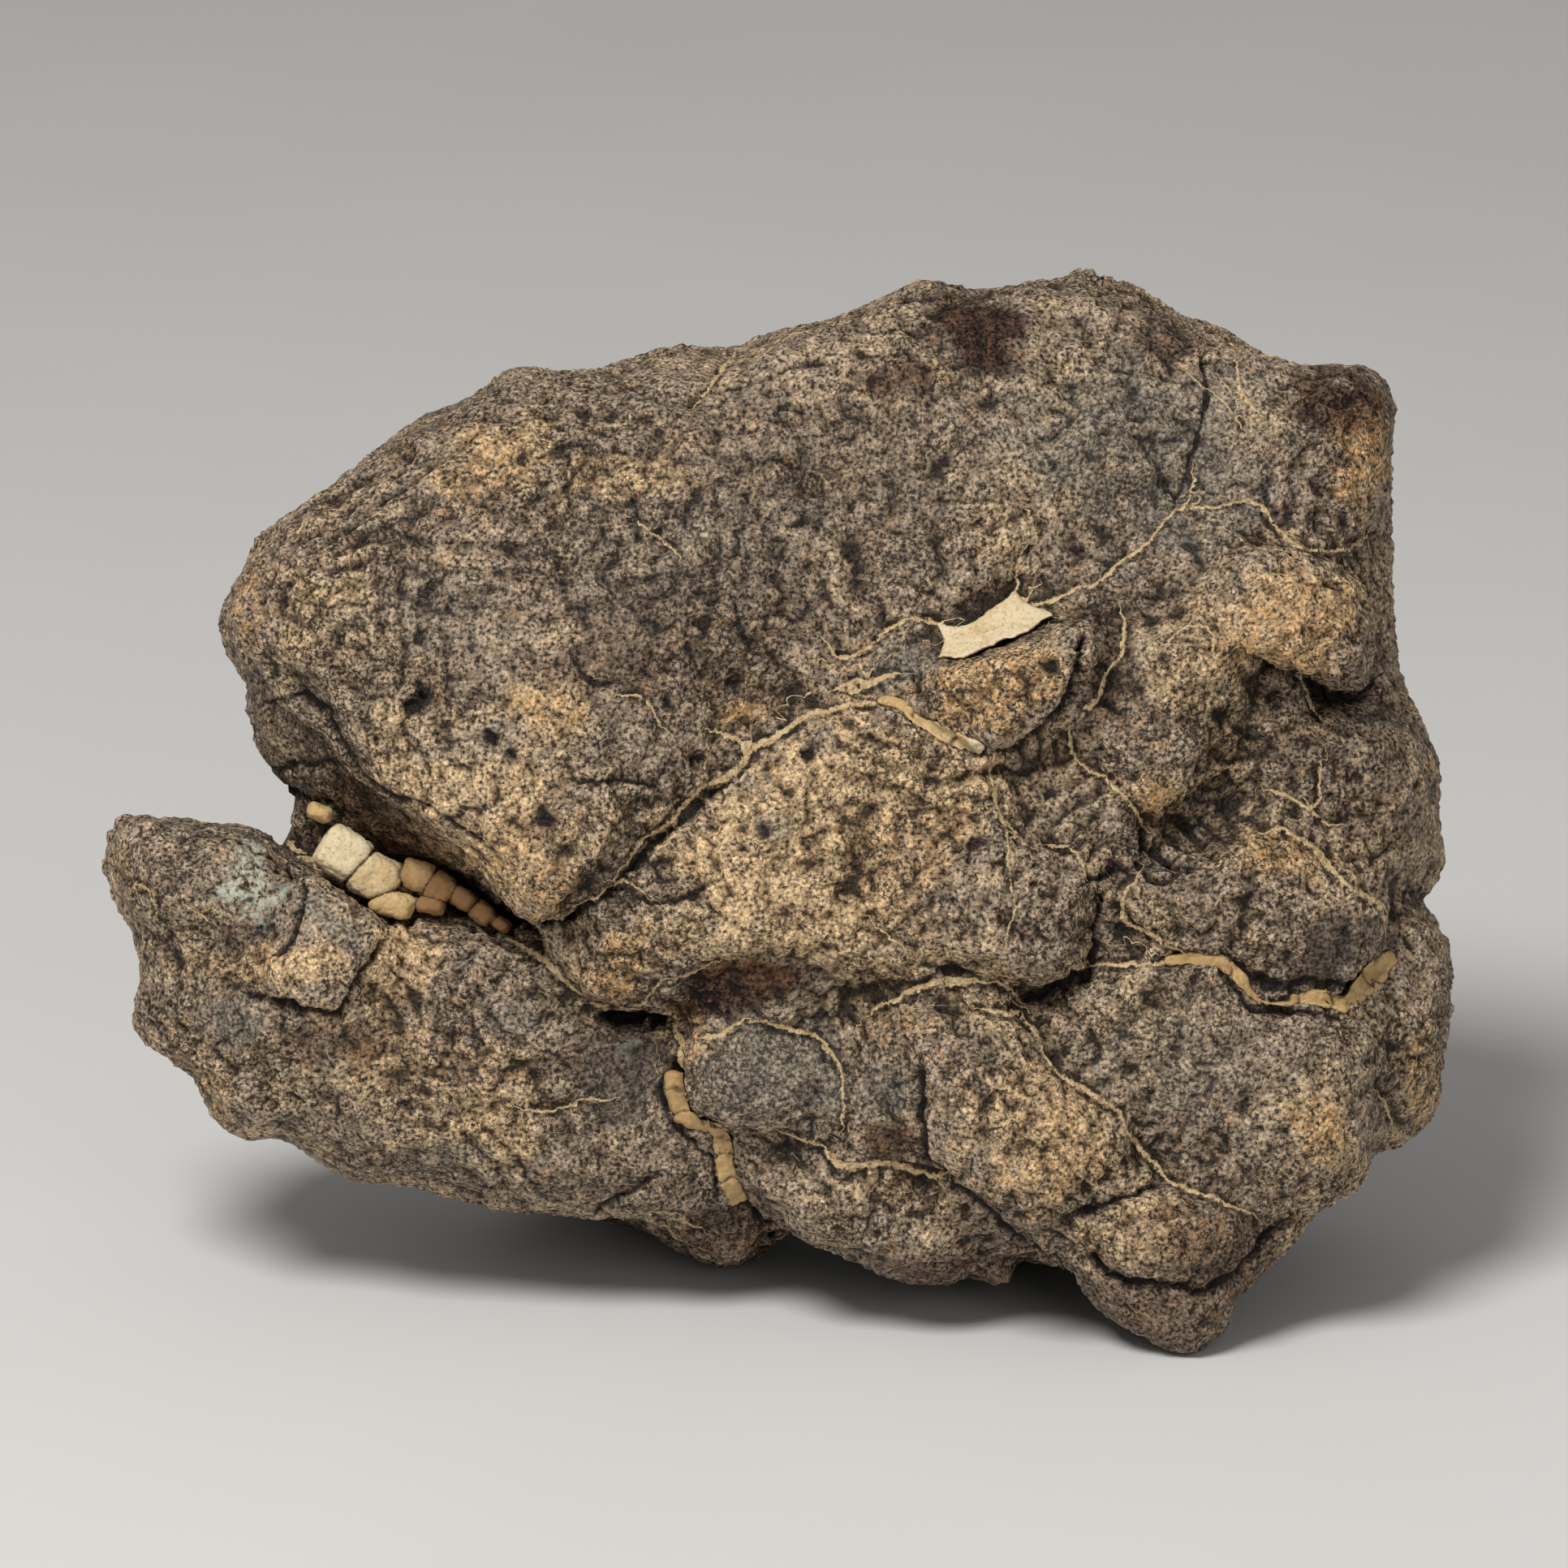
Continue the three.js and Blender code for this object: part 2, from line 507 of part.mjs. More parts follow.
// Blocks of caliche that fill the fracture, from the cream one at its mouth to the small brown ones.
const BLOCK_STYLE = { square: 3.4, squareBack: 3, facet: 2.3, rough: 0.3 };
const FRACTURE_BLOCKS = [
  {
    outline: [
      [-40.7, 44.4], [-39.8, 45.5], [-38, 46], [-36.7, 45.2], [-36.4, 43.6], [-37.4, 42], [-38.6, 41.9],
      [-40.2, 43.3],
    ],
    level: -4.5, front: 4, back: 3.2,
  },
  {
    outline: [
      [-38.2, 42.6], [-36.8, 44.3], [-35, 44], [-34.1, 42.7], [-34.4, 41.2], [-36.2, 40.3],
      [-37.7, 40.9],
    ],
    level: -4.5, front: 4.6, back: 3.2,
  },
  {
    outline: [[-37.6, 40.8], [-36.4, 41.8], [-34, 41.6], [-33, 40.6], [-33.4, 39.6], [-36.3, 40]],
    level: -5, front: 4.9, back: 2.8,
  },
  {
    outline: [[-34.8, 41.2], [-34.4, 43.2], [-32.6, 43.3], [-30.4, 42.6], [-30.2, 41.2], [-32.4, 40.7]],
    level: -4.5, front: 3.8, back: 3,
  },
  {
    outline: [[-31, 41], [-30.6, 42.3], [-28.6, 41.9], [-27.6, 41.2], [-28, 40.6], [-30, 40.6]],
    level: -4.5, front: 3.4, back: 3,
  },
  {
    outline: [[-29.2, 40.3], [-28.8, 41.2], [-27.2, 41], [-26.8, 40.2], [-27.6, 39.7], [-28.8, 39.8]],
    level: -4.5, front: 4.2, back: 2.6,
  },
];

// Seams of caliche: [x, z, width] along the crack, and the depth that each is rooted at.
const SEAMS = {
  caliche_lower_seam: {
    path: [
      [-9.4, 25.1, 1.5], [-9.3, 23.3, 1.9], [-8.6, 21.2, 1.8], [-7, 20.4, 1.1], [-5.6, 20, 1.4],
      [-5, 18.8, 1.8], [-4.9, 17, 1.7], [-4.4, 15.2, 1.8], [-3.6, 13.6, 1.8],
    ],
    root: -5,
  },
  caliche_right_seam: {
    path: [
      [33.6, 34.9, 0.7], [36, 35.1, 1.2], [38.6, 34.8, 1.3], [39.9, 33.9, 1.1], [41, 32.5, 0.9],
      [42.2, 31.3, 0.8], [44.4, 31.3, 0.7], [46.4, 31.8, 1.5], [47.8, 31.6, 1.5], [49.4, 31, 1.3],
      [50.8, 32.2, 1.9], [52.4, 33.9, 2], [53.8, 35.4, 1.4],
    ],
    root: -7,
  },
  caliche_centre_seam: {
    path: [
      [8.4, 57.8, 0.7], [10.4, 57.5, 0.9], [12, 56.2, 1.2], [14, 55, 1.3], [16, 54, 1.4], [17.6, 53.1, 1.8],
    ],
    root: -13,
  },
};

// The flat patch of caliche in the middle of the upper plate.
const PATCH = [
  [13.4, 64.8], [16.2, 64.3], [18.5, 65.9], [20.6, 67.6], [21.5, 66.4], [24.2, 65.4], [21.5, 63.6],
  [19.5, 62.8], [17, 62], [15.4, 61.3], [13.7, 61.4], [14.4, 62.8],
];
const PATCH_ROOT = -13;

// The half space below the ground, in the frame of the face.
function ground() {
  const block = new THREE.BoxGeometry(GROUND_SIZE, GROUND_SIZE, GROUND_SIZE);
  const level = -TIP_DEPTH * Math.sin(FACE_LEAN) + WORN_FLAT;
  block.translate(0, 0, level - GROUND_SIZE / 2);
  block.rotateX(FACE_LEAN);
  return solidOf(block);
}

// Several forms run together, each grown by the same amount.
function join(forms, grow = 0) {
  return forms.map((form) => pebble({ ...form, grow: grow + (form.grow ?? 0) })).reduce((a, b) => a.add(b));
}

const blocks = FRACTURE_BLOCKS.map((block) => ({ ...block, ...BLOCK_STYLE }));
const fracture = bar(FRACTURE, FRACTURE_FROM, FRACTURE_FLOOR);
const whole = join(STONE_FORMS).subtract(fracture).subtract(ground());
const proud = whole.translate([0, -CALICHE_PROUD, 0]);

// The caliche in the cracks follows the face a little proud of it, and the stone has a pocket for it.
const caliche = { caliche_fracture_fill: join(blocks) };
let stone = whole.subtract(join(blocks, CALICHE_GAP));
for (const [name, { path, root }] of Object.entries(SEAMS)) {
  caliche[name] = bar(band(path, 0), IN_FRONT, root).intersect(proud);
  stone = stone.subtract(bar(band(path, CALICHE_GAP), IN_FRONT, root + CALICHE_GAP));
}
caliche.caliche_patch = bar(PATCH, IN_FRONT, PATCH_ROOT).intersect(proud);
stone = stone.subtract(bar(widened(PATCH, CALICHE_GAP), IN_FRONT, PATCH_ROOT + CALICHE_GAP));

// The largest of the bodies that a cut left: crumbs that came loose are dropped.
function largest(solid) {
  return solid.decompose().reduce((a, b) => (b.volume() > a.volume() ? b : a));
}

// A solid as a named mesh.
function meshOf(name, solid, material) {
  const { vertProperties, triVerts } = solid.getMesh();
  const geometry = new THREE.BufferGeometry();
  geometry.setAttribute("position", new THREE.BufferAttribute(vertProperties, 3));
  geometry.setIndex(new THREE.BufferAttribute(triVerts, 1));
  geometry.computeVertexNormals();
  const mesh = new THREE.Mesh(geometry, material);
  mesh.name = name;
  return mesh;
}

const stoneMaterial = new THREE.MeshStandardMaterial({ color: 0x5f4c38, roughness: 0.85, metalness: 0 });
const calicheMaterial = new THREE.MeshStandardMaterial({ color: 0xd8b27a, roughness: 0.9, metalness: 0 });

const face = new THREE.Group();
face.rotation.x = -FACE_LEAN;
face.add(meshOf("stone", largest(stone), stoneMaterial));
for (const [name, solid] of Object.entries(caliche)) {
  face.add(meshOf(name, largest(solid), calicheMaterial));
}

// The origin is on the ground, under the middle of the stone's box.
const meteorite = new THREE.Group();
meteorite.add(face);
meteorite.updateMatrixWorld(true);
const box = new THREE.Box3().setFromObject(meteorite, true);
const centre = box.getCenter(new THREE.Vector3());
face.position.set(-centre.x, -centre.y, -box.min.z);

export default meteorite;
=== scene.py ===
"""Looks of a chondrite meteorite: grainy, weathered grey-brown stone with rust stains, pits and
cracks, and pale caliche grown in its cracks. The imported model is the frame, and it's in metres.

What is drawn on the face of the stone is in millimetres: x to the right, z up the face, as seen
from in front and a little above, and depth away from the viewer."""

import itertools
import math

import bmesh
import bpy
import numpy as np
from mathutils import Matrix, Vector
from mathutils.bvhtree import BVHTree


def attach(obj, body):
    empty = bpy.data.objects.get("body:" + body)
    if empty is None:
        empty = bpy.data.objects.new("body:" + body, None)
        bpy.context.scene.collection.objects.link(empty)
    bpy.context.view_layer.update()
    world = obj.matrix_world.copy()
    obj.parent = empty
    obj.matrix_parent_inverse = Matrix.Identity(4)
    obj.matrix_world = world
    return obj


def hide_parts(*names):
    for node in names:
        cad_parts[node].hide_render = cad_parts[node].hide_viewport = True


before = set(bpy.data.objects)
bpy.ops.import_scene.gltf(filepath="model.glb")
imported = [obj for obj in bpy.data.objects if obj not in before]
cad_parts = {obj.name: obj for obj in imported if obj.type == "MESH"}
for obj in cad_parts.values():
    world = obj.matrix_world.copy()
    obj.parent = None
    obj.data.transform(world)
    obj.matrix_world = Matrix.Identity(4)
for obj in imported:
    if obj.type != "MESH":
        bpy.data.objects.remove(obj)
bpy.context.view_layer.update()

MM = 0.001

# The face leans back by this angle. Its origin, the distance that it is drawn from and the point
# that the sight line goes through are those of the solid stone. Last, the ways toward the viewer and
# to the right and up on the face.
FACE_LEAN = math.radians(16)
FACE_PLACE = np.array((0.0266, -16.1530, -5.1358))
EYE_DISTANCE = 900
SIGHT_X = 0.3
SIGHT_Z = 50.4
TOWARD = np.array((0, -math.cos(FACE_LEAN), math.sin(FACE_LEAN)))
RIGHT = np.array((1, 0, 0))
UP = np.array((0, math.sin(FACE_LEAN), math.cos(FACE_LEAN)))

# Quads of the stone's skin, its triangles once it is thinned out, and quads of the caliche.
VOXEL = 0.42 * MM
STONE_TRIANGLES = 190000
CALICHE_VOXEL = 0.16 * MM

# Veins of caliche too thin to be bodies of their own: (x, z, width) along each.
VEINS = [
    # Between the upper plate and the central one, from the finger to the left, with a branch.
    [(8.3, 57.6, 0.5), (6.5, 57.5, 0.5), (4.8, 57, 0.6), (3, 56.8, 0.75), (1.5, 56.2, 0.75),
     (0.5, 55.2, 0.8), (-1, 54.3, 0.9), (-2.5, 53.5, 0.9), (-4, 51.8, 0.7), (-5, 51, 0.55),
     (-7, 49.8, 0.4), (-9, 48, 0.45), (-11, 46, 0.35), (-12.3, 45, 0.3), (-13.2, 43.5, 0.3),
     (-14.5, 42, 0.25)],
    [(-5.4, 54.8, 0.5), (-3.5, 54.2, 0.8), (-2.6, 53.6, 0.6)],
    [(-21, 38, 0.3), (-19, 38.5, 0.35), (-18, 39.5, 0.35), (-16.5, 40.2, 0.3), (-15, 41, 0.35),
     (-13.6, 41.6, 0.3), (-12.5, 41, 0.2)],
    # Along the lower edge of the central plate's tongue.
    [(-25, 37.2, 0.35), (-23, 36.4, 0.45), (-21, 35.2, 0.85), (-20, 34, 0.9), (-19, 32.8, 0.5),
     (-18.5, 32.3, 0.3), (-16.5, 31, 0.25), (-14.5, 30.4, 0.25), (-12.5, 30.6, 0.2),
     (-11.6, 31.4, 0.25), (-10.5, 32.6, 0.3), (-9, 33.2, 0.3), (-7, 34, 0.25), (-5.5, 34.6, 0.2)],
    # Round the small pillow.
    [(-9.4, 28.7, 0.6), (-8.5, 27.5, 0.9), (-8.9, 26.4, 0.8), (-9.1, 25.2, 0.9)],
    [(-6.5, 28.3, 0.8), (-5, 28.6, 0.7), (-3.3, 29.4, 0.4)],
    [(-2, 29.3, 0.4), (0, 29, 0.5), (2, 28.6, 0.6), (3.5, 28, 0.45), (4.5, 26.5, 0.3), (5.3, 24.5, 0.3),
     (5.6, 22, 0.25), (5.3, 20.5, 0.25)],
    # Right of the lower seam.
    [(0.5, 19.5, 0.35), (2, 19, 0.45), (3.3, 18.6, 0.3)],
    [(4, 18, 0.8), (5, 17, 1.1), (6, 16.6, 1.1), (8, 16.8, 0.9), (10, 16.8, 1), (12, 16.3, 0.9),
     (13.8, 15.7, 0.5)],
    # The upper left of the flat patch, and the small patch below it.
    [(4.2, 62.7, 0.45), (4.8, 61.8, 0.55), (5.3, 61.4, 0.5), (6.8, 61.9, 0.5), (8.2, 62.9, 0.5),
     (9, 63.6, 0.5), (10.2, 64.5, 0.45), (11, 65, 0.4), (13.5, 64.9, 0.6)],
    [(5.4, 58.7, 1), (6.6, 59, 1.9), (7.8, 59.2, 1.5), (9, 59.6, 0.8), (10.2, 60, 0.4)],
    # The hook right of the wedge, and its way on down.
    [(30, 65.2, 0.4), (30.4, 63.5, 0.5), (30.2, 62, 0.45), (29.3, 60.8, 0.5), (28.8, 60, 0.4),
     (28.3, 58.7, 0.85), (27.8, 57.9, 0.4), (27.1, 57, 0.75), (26.6, 56.4, 0.4)],
    [(25.4, 54.6, 0.35), (25.4, 53.4, 0.5), (26, 52.6, 0.5), (27.2, 51.5, 0.4), (28.6, 51, 0.45),
     (29.5, 50, 0.45), (30.2, 49, 0.45), (31, 48, 0.4), (31.8, 47, 0.4)],
    # Down from the end of the finger.
    [(18.4, 51.7, 0.3), (18.9, 50.5, 0.35), (19.2, 49.6, 0.7), (19.2, 48.8, 0.35), (19.5, 47.6, 0.35),
     (20.3, 46.5, 0.35), (21, 45.6, 0.3), (21.6, 45.1, 0.3)],
    [(23.8, 45, 0.3), (25.3, 45, 0.4), (26, 44.3, 0.35), (26.8, 43.2, 0.35), (27.2, 42.4, 0.3)],
    [(20, 46.4, 0.2), (20, 43.5, 0.25), (20.4, 41, 0.2), (20.6, 39.5, 0.25), (20, 37.5, 0.2),
     (19.7, 35.5, 0.2)],
    # Up from the flat patch, and the long one to the right edge.
    [(20.8, 67.5, 0.4), (21, 69.8, 0.3), (21.6, 71, 0.3), (22.5, 72.2, 0.35), (22.5, 73, 0.3),
     (22, 74, 0.25)],
    [(22, 66.4, 0.5), (24, 66.8, 0.45), (26, 67.5, 0.45), (27.3, 67.9, 0.4), (28.5, 68.6, 0.4),
     (30, 69.8, 0.45), (31.5, 70.8, 0.4), (32.7, 71.9, 0.4), (33.6, 73.3, 0.35), (34.8, 74.5, 0.45),
     (35.7, 75, 0.5), (38, 74.8, 0.35), (40, 75.1, 0.45), (41.3, 75.4, 0.45), (42.4, 74.8, 0.4),
     (43.2, 73.9, 0.35), (43.8, 72.8, 0.35), (44.8, 71.8, 0.4), (45.6, 71.4, 0.4), (47, 71, 0.35),
     (49.5, 70.8, 0.4), (50.5, 71.3, 0.35), (51.7, 72.2, 0.3)],
    [(35.7, 75, 0.4), (36, 76, 0.35), (36.3, 77.4, 0.25)],
    # The right of the face.
    [(28, 34.5, 0.35), (30.4, 34.7, 0.45), (33, 34.8, 0.5), (34.6, 34.9, 0.6)],
    [(31.3, 42.2, 0.35), (30.3, 41.2, 0.45), (29.9, 40, 0.5), (30.1, 38.8, 0.6), (30.5, 38, 0.5),
     (31.5, 37.6, 0.5), (33, 37, 0.6), (34, 36.3, 0.5), (35, 35.7, 0.4)],
    [(43.5, 49.7, 0.35), (45, 49, 0.4), (46.2, 48.3, 0.4), (47.3, 47.5, 0.45), (48, 47, 0.4),
     (49, 46.9, 0.3)],
    [(47.8, 52, 0.25), (47.4, 50, 0.3), (47.6, 48.5, 0.25)],
    [(42.5, 46.3, 0.3), (44, 46.5, 0.4), (45.5, 45.8, 0.5), (46.5, 45.2, 0.6), (47.5, 44.3, 0.85),
     (48.3, 43.2, 0.9), (49, 42.4, 0.9), (49.7, 41.8, 0.6), (50.3, 41.5, 0.4), (51, 40.8, 0.6),
     (51.8, 40.3, 0.5), (52.8, 40, 0.9), (53.3, 39.3, 1.3), (53.4, 38.4, 0.9)],
    [(52.5, 23.5, 0.3), (53.5, 22, 0.4), (54, 20.5, 0.3)],
    # Down the ridge to the pad, and above it.
    [(21.8, 29.5, 0.35), (22.8, 28, 0.4), (23, 26.5, 0.4), (23.5, 25.8, 0.45), (25, 24.8, 0.4),
     (26.5, 23.8, 0.45), (28, 22.8, 0.5), (29.3, 21.8, 0.45), (30, 20.8, 0.35), (30.5, 19.8, 0.4),
     (31.4, 18.5, 0.35), (32.4, 17.2, 0.4), (33.2, 16.6, 0.4), (34, 15.6, 0.4), (35.5, 14.9, 0.4),
     (37, 14.5, 0.4), (39, 13.6, 0.35), (40.5, 12.9, 0.3), (41.6, 12.3, 0.25)],
    [(8, 30.2, 0.4), (10, 31.5, 0.5), (12, 32.4, 0.6), (13.5, 32.9, 0.8), (15.2, 32.9, 1.4),
     (16.5, 32.9, 0.9), (17.4, 32.9, 0.4), (19, 32.8, 0.35), (20.5, 32, 0.4), (21.8, 31.2, 0.35)],
    [(18.3, 30.5, 0.4), (19.8, 30.3, 0.7), (21.2, 30.4, 0.4)],
    [(8.3, 37.8, 0.3), (9.2, 37, 0.4), (10.2, 36.5, 0.35), (10.8, 36, 0.25)],
    # Hairlines of the upper plates.
    [(34.2, 63, 0.25), (35, 63.8, 0.3), (35.6, 64.2, 0.3), (37.3, 64.4, 0.3), (38, 63.6, 0.3),
     (38.2, 62.5, 0.3), (38.3, 61.6, 0.3), (39, 61.4, 0.25), (40, 62.2, 0.2)],
    [(40.1, 87.3, 0.35), (40.2, 85.6, 0.45), (40.7, 84.7, 0.4), (41.7, 83.7, 0.3)],
    [(36.3, 86, 0.2), (37.6, 85.2, 0.25), (38.6, 84.6, 0.25), (39.3, 83.7, 0.25), (40, 82.9, 0.25),
     (40.4, 82.3, 0.2)],
    [(45.6, 59.3, 0.3), (46.5, 58.3, 0.35), (47, 57.3, 0.35), (47.5, 56.3, 0.25)],
    [(51.3, 67, 0.25), (52.2, 65.5, 0.3), (52.8, 63.8, 0.25)],
    [(-4.2, 88.3, 0.5), (-5, 87.3, 0.55), (-6.5, 85.4, 0.4), (-7.5, 84, 0.25)],
    [(-13, 73.7, 0.2), (-11.5, 72.8, 0.3), (-9.8, 71.4, 0.25), (-9, 70.6, 0.2)],
    [(-14, 58.3, 0.25), (-12.8, 58.3, 0.35), (-11.7, 57.2, 0.35), (-10.8, 55.8, 0.25)],
    # The lobe: curves and flecks, the crust at the mouth of the fracture, and the nub's highlight.
    [(-57.8, 42.7, 0.3), (-56.5, 41.5, 0.4), (-55.5, 40.8, 0.35), (-55, 39.5, 0.25)],
    [(-51.8, 39.4, 0.3), (-50.5, 38.6, 0.35)],
    [(-44.4, 46, 0.7), (-43.2, 45.2, 0.9), (-41.6, 44, 0.7), (-40.8, 43.2, 0.4)],
    [(-18, 22.6, 0.3), (-15.5, 22.7, 0.35)],
    [(-22.5, 21.8, 0.25), (-20, 21.5, 0.35), (-18, 22, 0.25)],
    [(-11, 12.4, 0.3), (-9, 12.2, 0.4), (-7.3, 11.2, 0.3)],
]

# Open cracks and the shadows under ledges, carved and painted black as shade: how deep each is,
# and (x, z, width) along it.
CRACKS = [
    # Under the lower right edge of the big upper plate.
    (1.0, [(-25.5, 39.2, 0.8), (-23.4, 38.4, 0.5), (-21.6, 37.5, 0.5), (-19.2, 38, 0.5),
        (-17.6, 39.2, 0.45), (-15, 40.5, 0.6), (-13.9, 42, 0.6), (-12.4, 43.4, 0.5),
        (-10.6, 45.4, 0.45), (-8.4, 47.6, 0.4), (-5, 50.2, 0.3), (-3, 52.4, 0.25)]),
    (0.6, [(-12, 40.2, 0.3), (-11, 40, 0.4), (-9, 40.2, 0.5), (-7, 41, 0.4), (-6, 41.8, 0.2)]),
    # Beside the fracture: the lip of the facet, a crack across it and the ledge above the notch.
    (0.5, [(-45, 57.5, 0.4), (-42, 58.5, 0.5), (-40, 57, 0.5), (-39, 55, 0.5), (-38.2, 53.5, 0.5),
        (-37.2, 51.5, 0.5), (-35.5, 50, 0.4), (-34, 49.2, 0.4), (-31, 48.5, 0.3), (-29, 47, 0.3),
        (-26.5, 45.5, 0.2)]),
    (0.6, [(-44.5, 51.5, 0.4), (-43, 52.2, 0.5), (-41.5, 52, 0.45), (-40, 52.3, 0.4),
        (-38.5, 52, 0.2)]),
    (0.9, [(-45, 51.2, 0.6), (-43.5, 50, 0.9), (-42, 49, 0.9), (-40, 48.7, 0.7), (-39, 47.5, 0.5)]),
    # The lobe: a crease beside the pale bloom, and the facet's ledge.
    (0.7, [(-43, 43, 0.4), (-42, 41, 0.7), (-42.5, 39, 0.7), (-43, 37, 0.5), (-44.5, 35.5, 0.3)]),
    (0.9, [(-47, 32, 0.4), (-44.4, 31, 0.5), (-42, 30.3, 0.6), (-38.8, 30, 0.6), (-38, 31, 0.6),
        (-37.5, 32.5, 0.6), (-36.5, 33.5, 0.5), (-35.8, 35, 0.4), (-35, 36.5, 0.3)]),
    # The black hole under the tongue.
    (3.0, [(-15.4, 29.8, 0.8), (-14, 29.6, 1.6), (-12.4, 29.5, 1.7), (-10.8, 29.5, 1.1),
        (-9.9, 29.6, 0.5)]),
    # Between the central plate and what lies right of it.
    (1.4, [(31.8, 46.5, 0.7), (32, 45, 1), (33.5, 44, 1), (35, 43.3, 0.6), (36.6, 43.2, 0.3)]),
    (0.9, [(27.2, 42, 0.4), (28, 42.3, 0.6), (30, 43, 0.6), (31, 42.8, 0.5), (32, 44.4, 0.4)]),
    (0.9, [(32, 44.5, 0.4), (32, 43, 0.6), (32.6, 42, 0.6), (34, 42, 0.5), (35, 42.4, 0.3)]),
    # The cavity over the right seam.
    (0.8, [(39.6, 35.2, 0.6), (41, 33.6, 1.1), (42.4, 32.8, 1.4), (44.6, 32.6, 1.3), (46.6, 33, 1),
        (48.4, 32.8, 0.9), (50.2, 32.4, 0.5)]),
    (0.8, [(38.6, 34, 0.4), (40, 32.6, 0.6), (41.4, 30.8, 0.6), (44, 30.5, 0.5), (47, 30.4, 0.4),
        (49, 29.9, 0.3)]),
    # Under the central plate's lower right edge.
    (1.5, [(21.5, 31.5, 0.5), (23, 31.8, 0.8), (25, 32.5, 1), (27, 33.3, 0.9), (27.8, 34.5, 0.8),
        (28.2, 36, 0.6), (28, 38, 0.4), (28.2, 40.4, 0.3)]),
    (0.6, [(12.5, 34.3, 0.4), (14.5, 34, 0.6), (16.6, 33.8, 0.4)]),
    # Right of and below the wedge.
    (1.4, [(26.6, 63.4, 0.4), (26.4, 61, 0.9), (25.8, 58.3, 1), (24.8, 56.5, 1), (22.9, 54.6, 1),
        (20.8, 53.2, 0.9), (19, 52.9, 0.6)]),
    (0.8, [(28.6, 57.6, 0.5), (29.6, 56.4, 0.3)]),
    # Short cracks of the upper plates.
    (0.5, [(-4.1, 66.2, 0.3), (-3.4, 64, 0.4), (-2.6, 62.7, 0.3)]),
    (0.7, [(-18.2, 61, 0.3), (-17.5, 60.2, 0.6), (-16.6, 59.3, 0.6), (-14.8, 59.4, 0.4)]),
    (0.5, [(-18, 50.8, 0.3), (-16, 50.5, 0.4), (-13.5, 50.8, 0.4), (-11, 50.2, 0.3)]),
    (1.6, [(41.3, 61.5, 0.4), (42.5, 60.5, 0.6), (43.5, 60, 0.8), (45.5, 59.7, 1), (47, 58.7, 1.1),
        (48.5, 57.9, 1.2), (50.5, 57.8, 1), (51.5, 58.3, 0.7), (52.7, 59.6, 0.4)]),
    (0.6, [(37, 88.4, 0.3), (37.4, 84, 0.5), (36.4, 79.4, 0.4), (34.6, 75.6, 0.3)]),
    # Round the pad, the tip and the nub.
    (0.7, [(26.5, 12.6, 0.4), (28.5, 13.6, 0.5), (30.5, 14.2, 0.4), (33, 15, 0.3)]),
    (1.0, [(27.3, 8.8, 0.5), (28.5, 7.3, 0.7), (30.5, 6.3, 0.8), (33, 6.2, 0.7), (35, 6, 0.7),
        (36.5, 5.4, 0.6), (38.5, 6.2, 0.6), (40.6, 7.4, 0.5), (42, 9.4, 0.5), (43, 10.9, 0.5),
        (44.9, 11.9, 0.4)]),
    (1.2, [(-3, 13.2, 0.5), (-1.4, 11.6, 0.8), (-0.2, 10.2, 1)]),
    (0.6, [(-16, 13, 0.4), (-13, 14.5, 0.5), (-11, 16, 0.4)]),
    (0.7, [(12.3, 25.6, 0.3), (12.3, 24, 0.5), (12, 21.5, 0.6), (12.4, 19, 0.6), (12.8, 17.2, 0.6),
        (14.4, 15.8, 0.6), (17, 13.8, 0.7), (19.5, 11.5, 0.8), (22, 9.6, 0.7), (24, 8.6, 0.5)]),
    (0.8, [(-9.6, 26, 0.4), (-10.6, 24, 0.5), (-10.2, 21, 0.4), (-8, 19, 0.4), (-6.2, 17.4, 0.4),
        (-5.6, 15, 0.4)]),
]

# Pits of the face, carved and painted dark as their shade: x, z, radius and depth.
PITS = [
    (2.5, 53.2, 0.9, 0.6), (-1.5, 46.3, 1, 0.5), (-20.8, 47.5, 1.1, 0.6), (-25.3, 54.5, 0.9, 0.5),
    (-23.8, 53.3, 0.8, 0.5), (-4, 59, 0.9, 0.5), (-10, 57.5, 0.8, 0.5), (-7.5, 52.5, 0.8, 0.4),
    (-32.6, 57.2, 1.1, 0.6), (-31.4, 58, 1.1, 0.6), (23.8, 60.6, 1, 0.7), (38.6, 56.4, 1, 0.5),
]

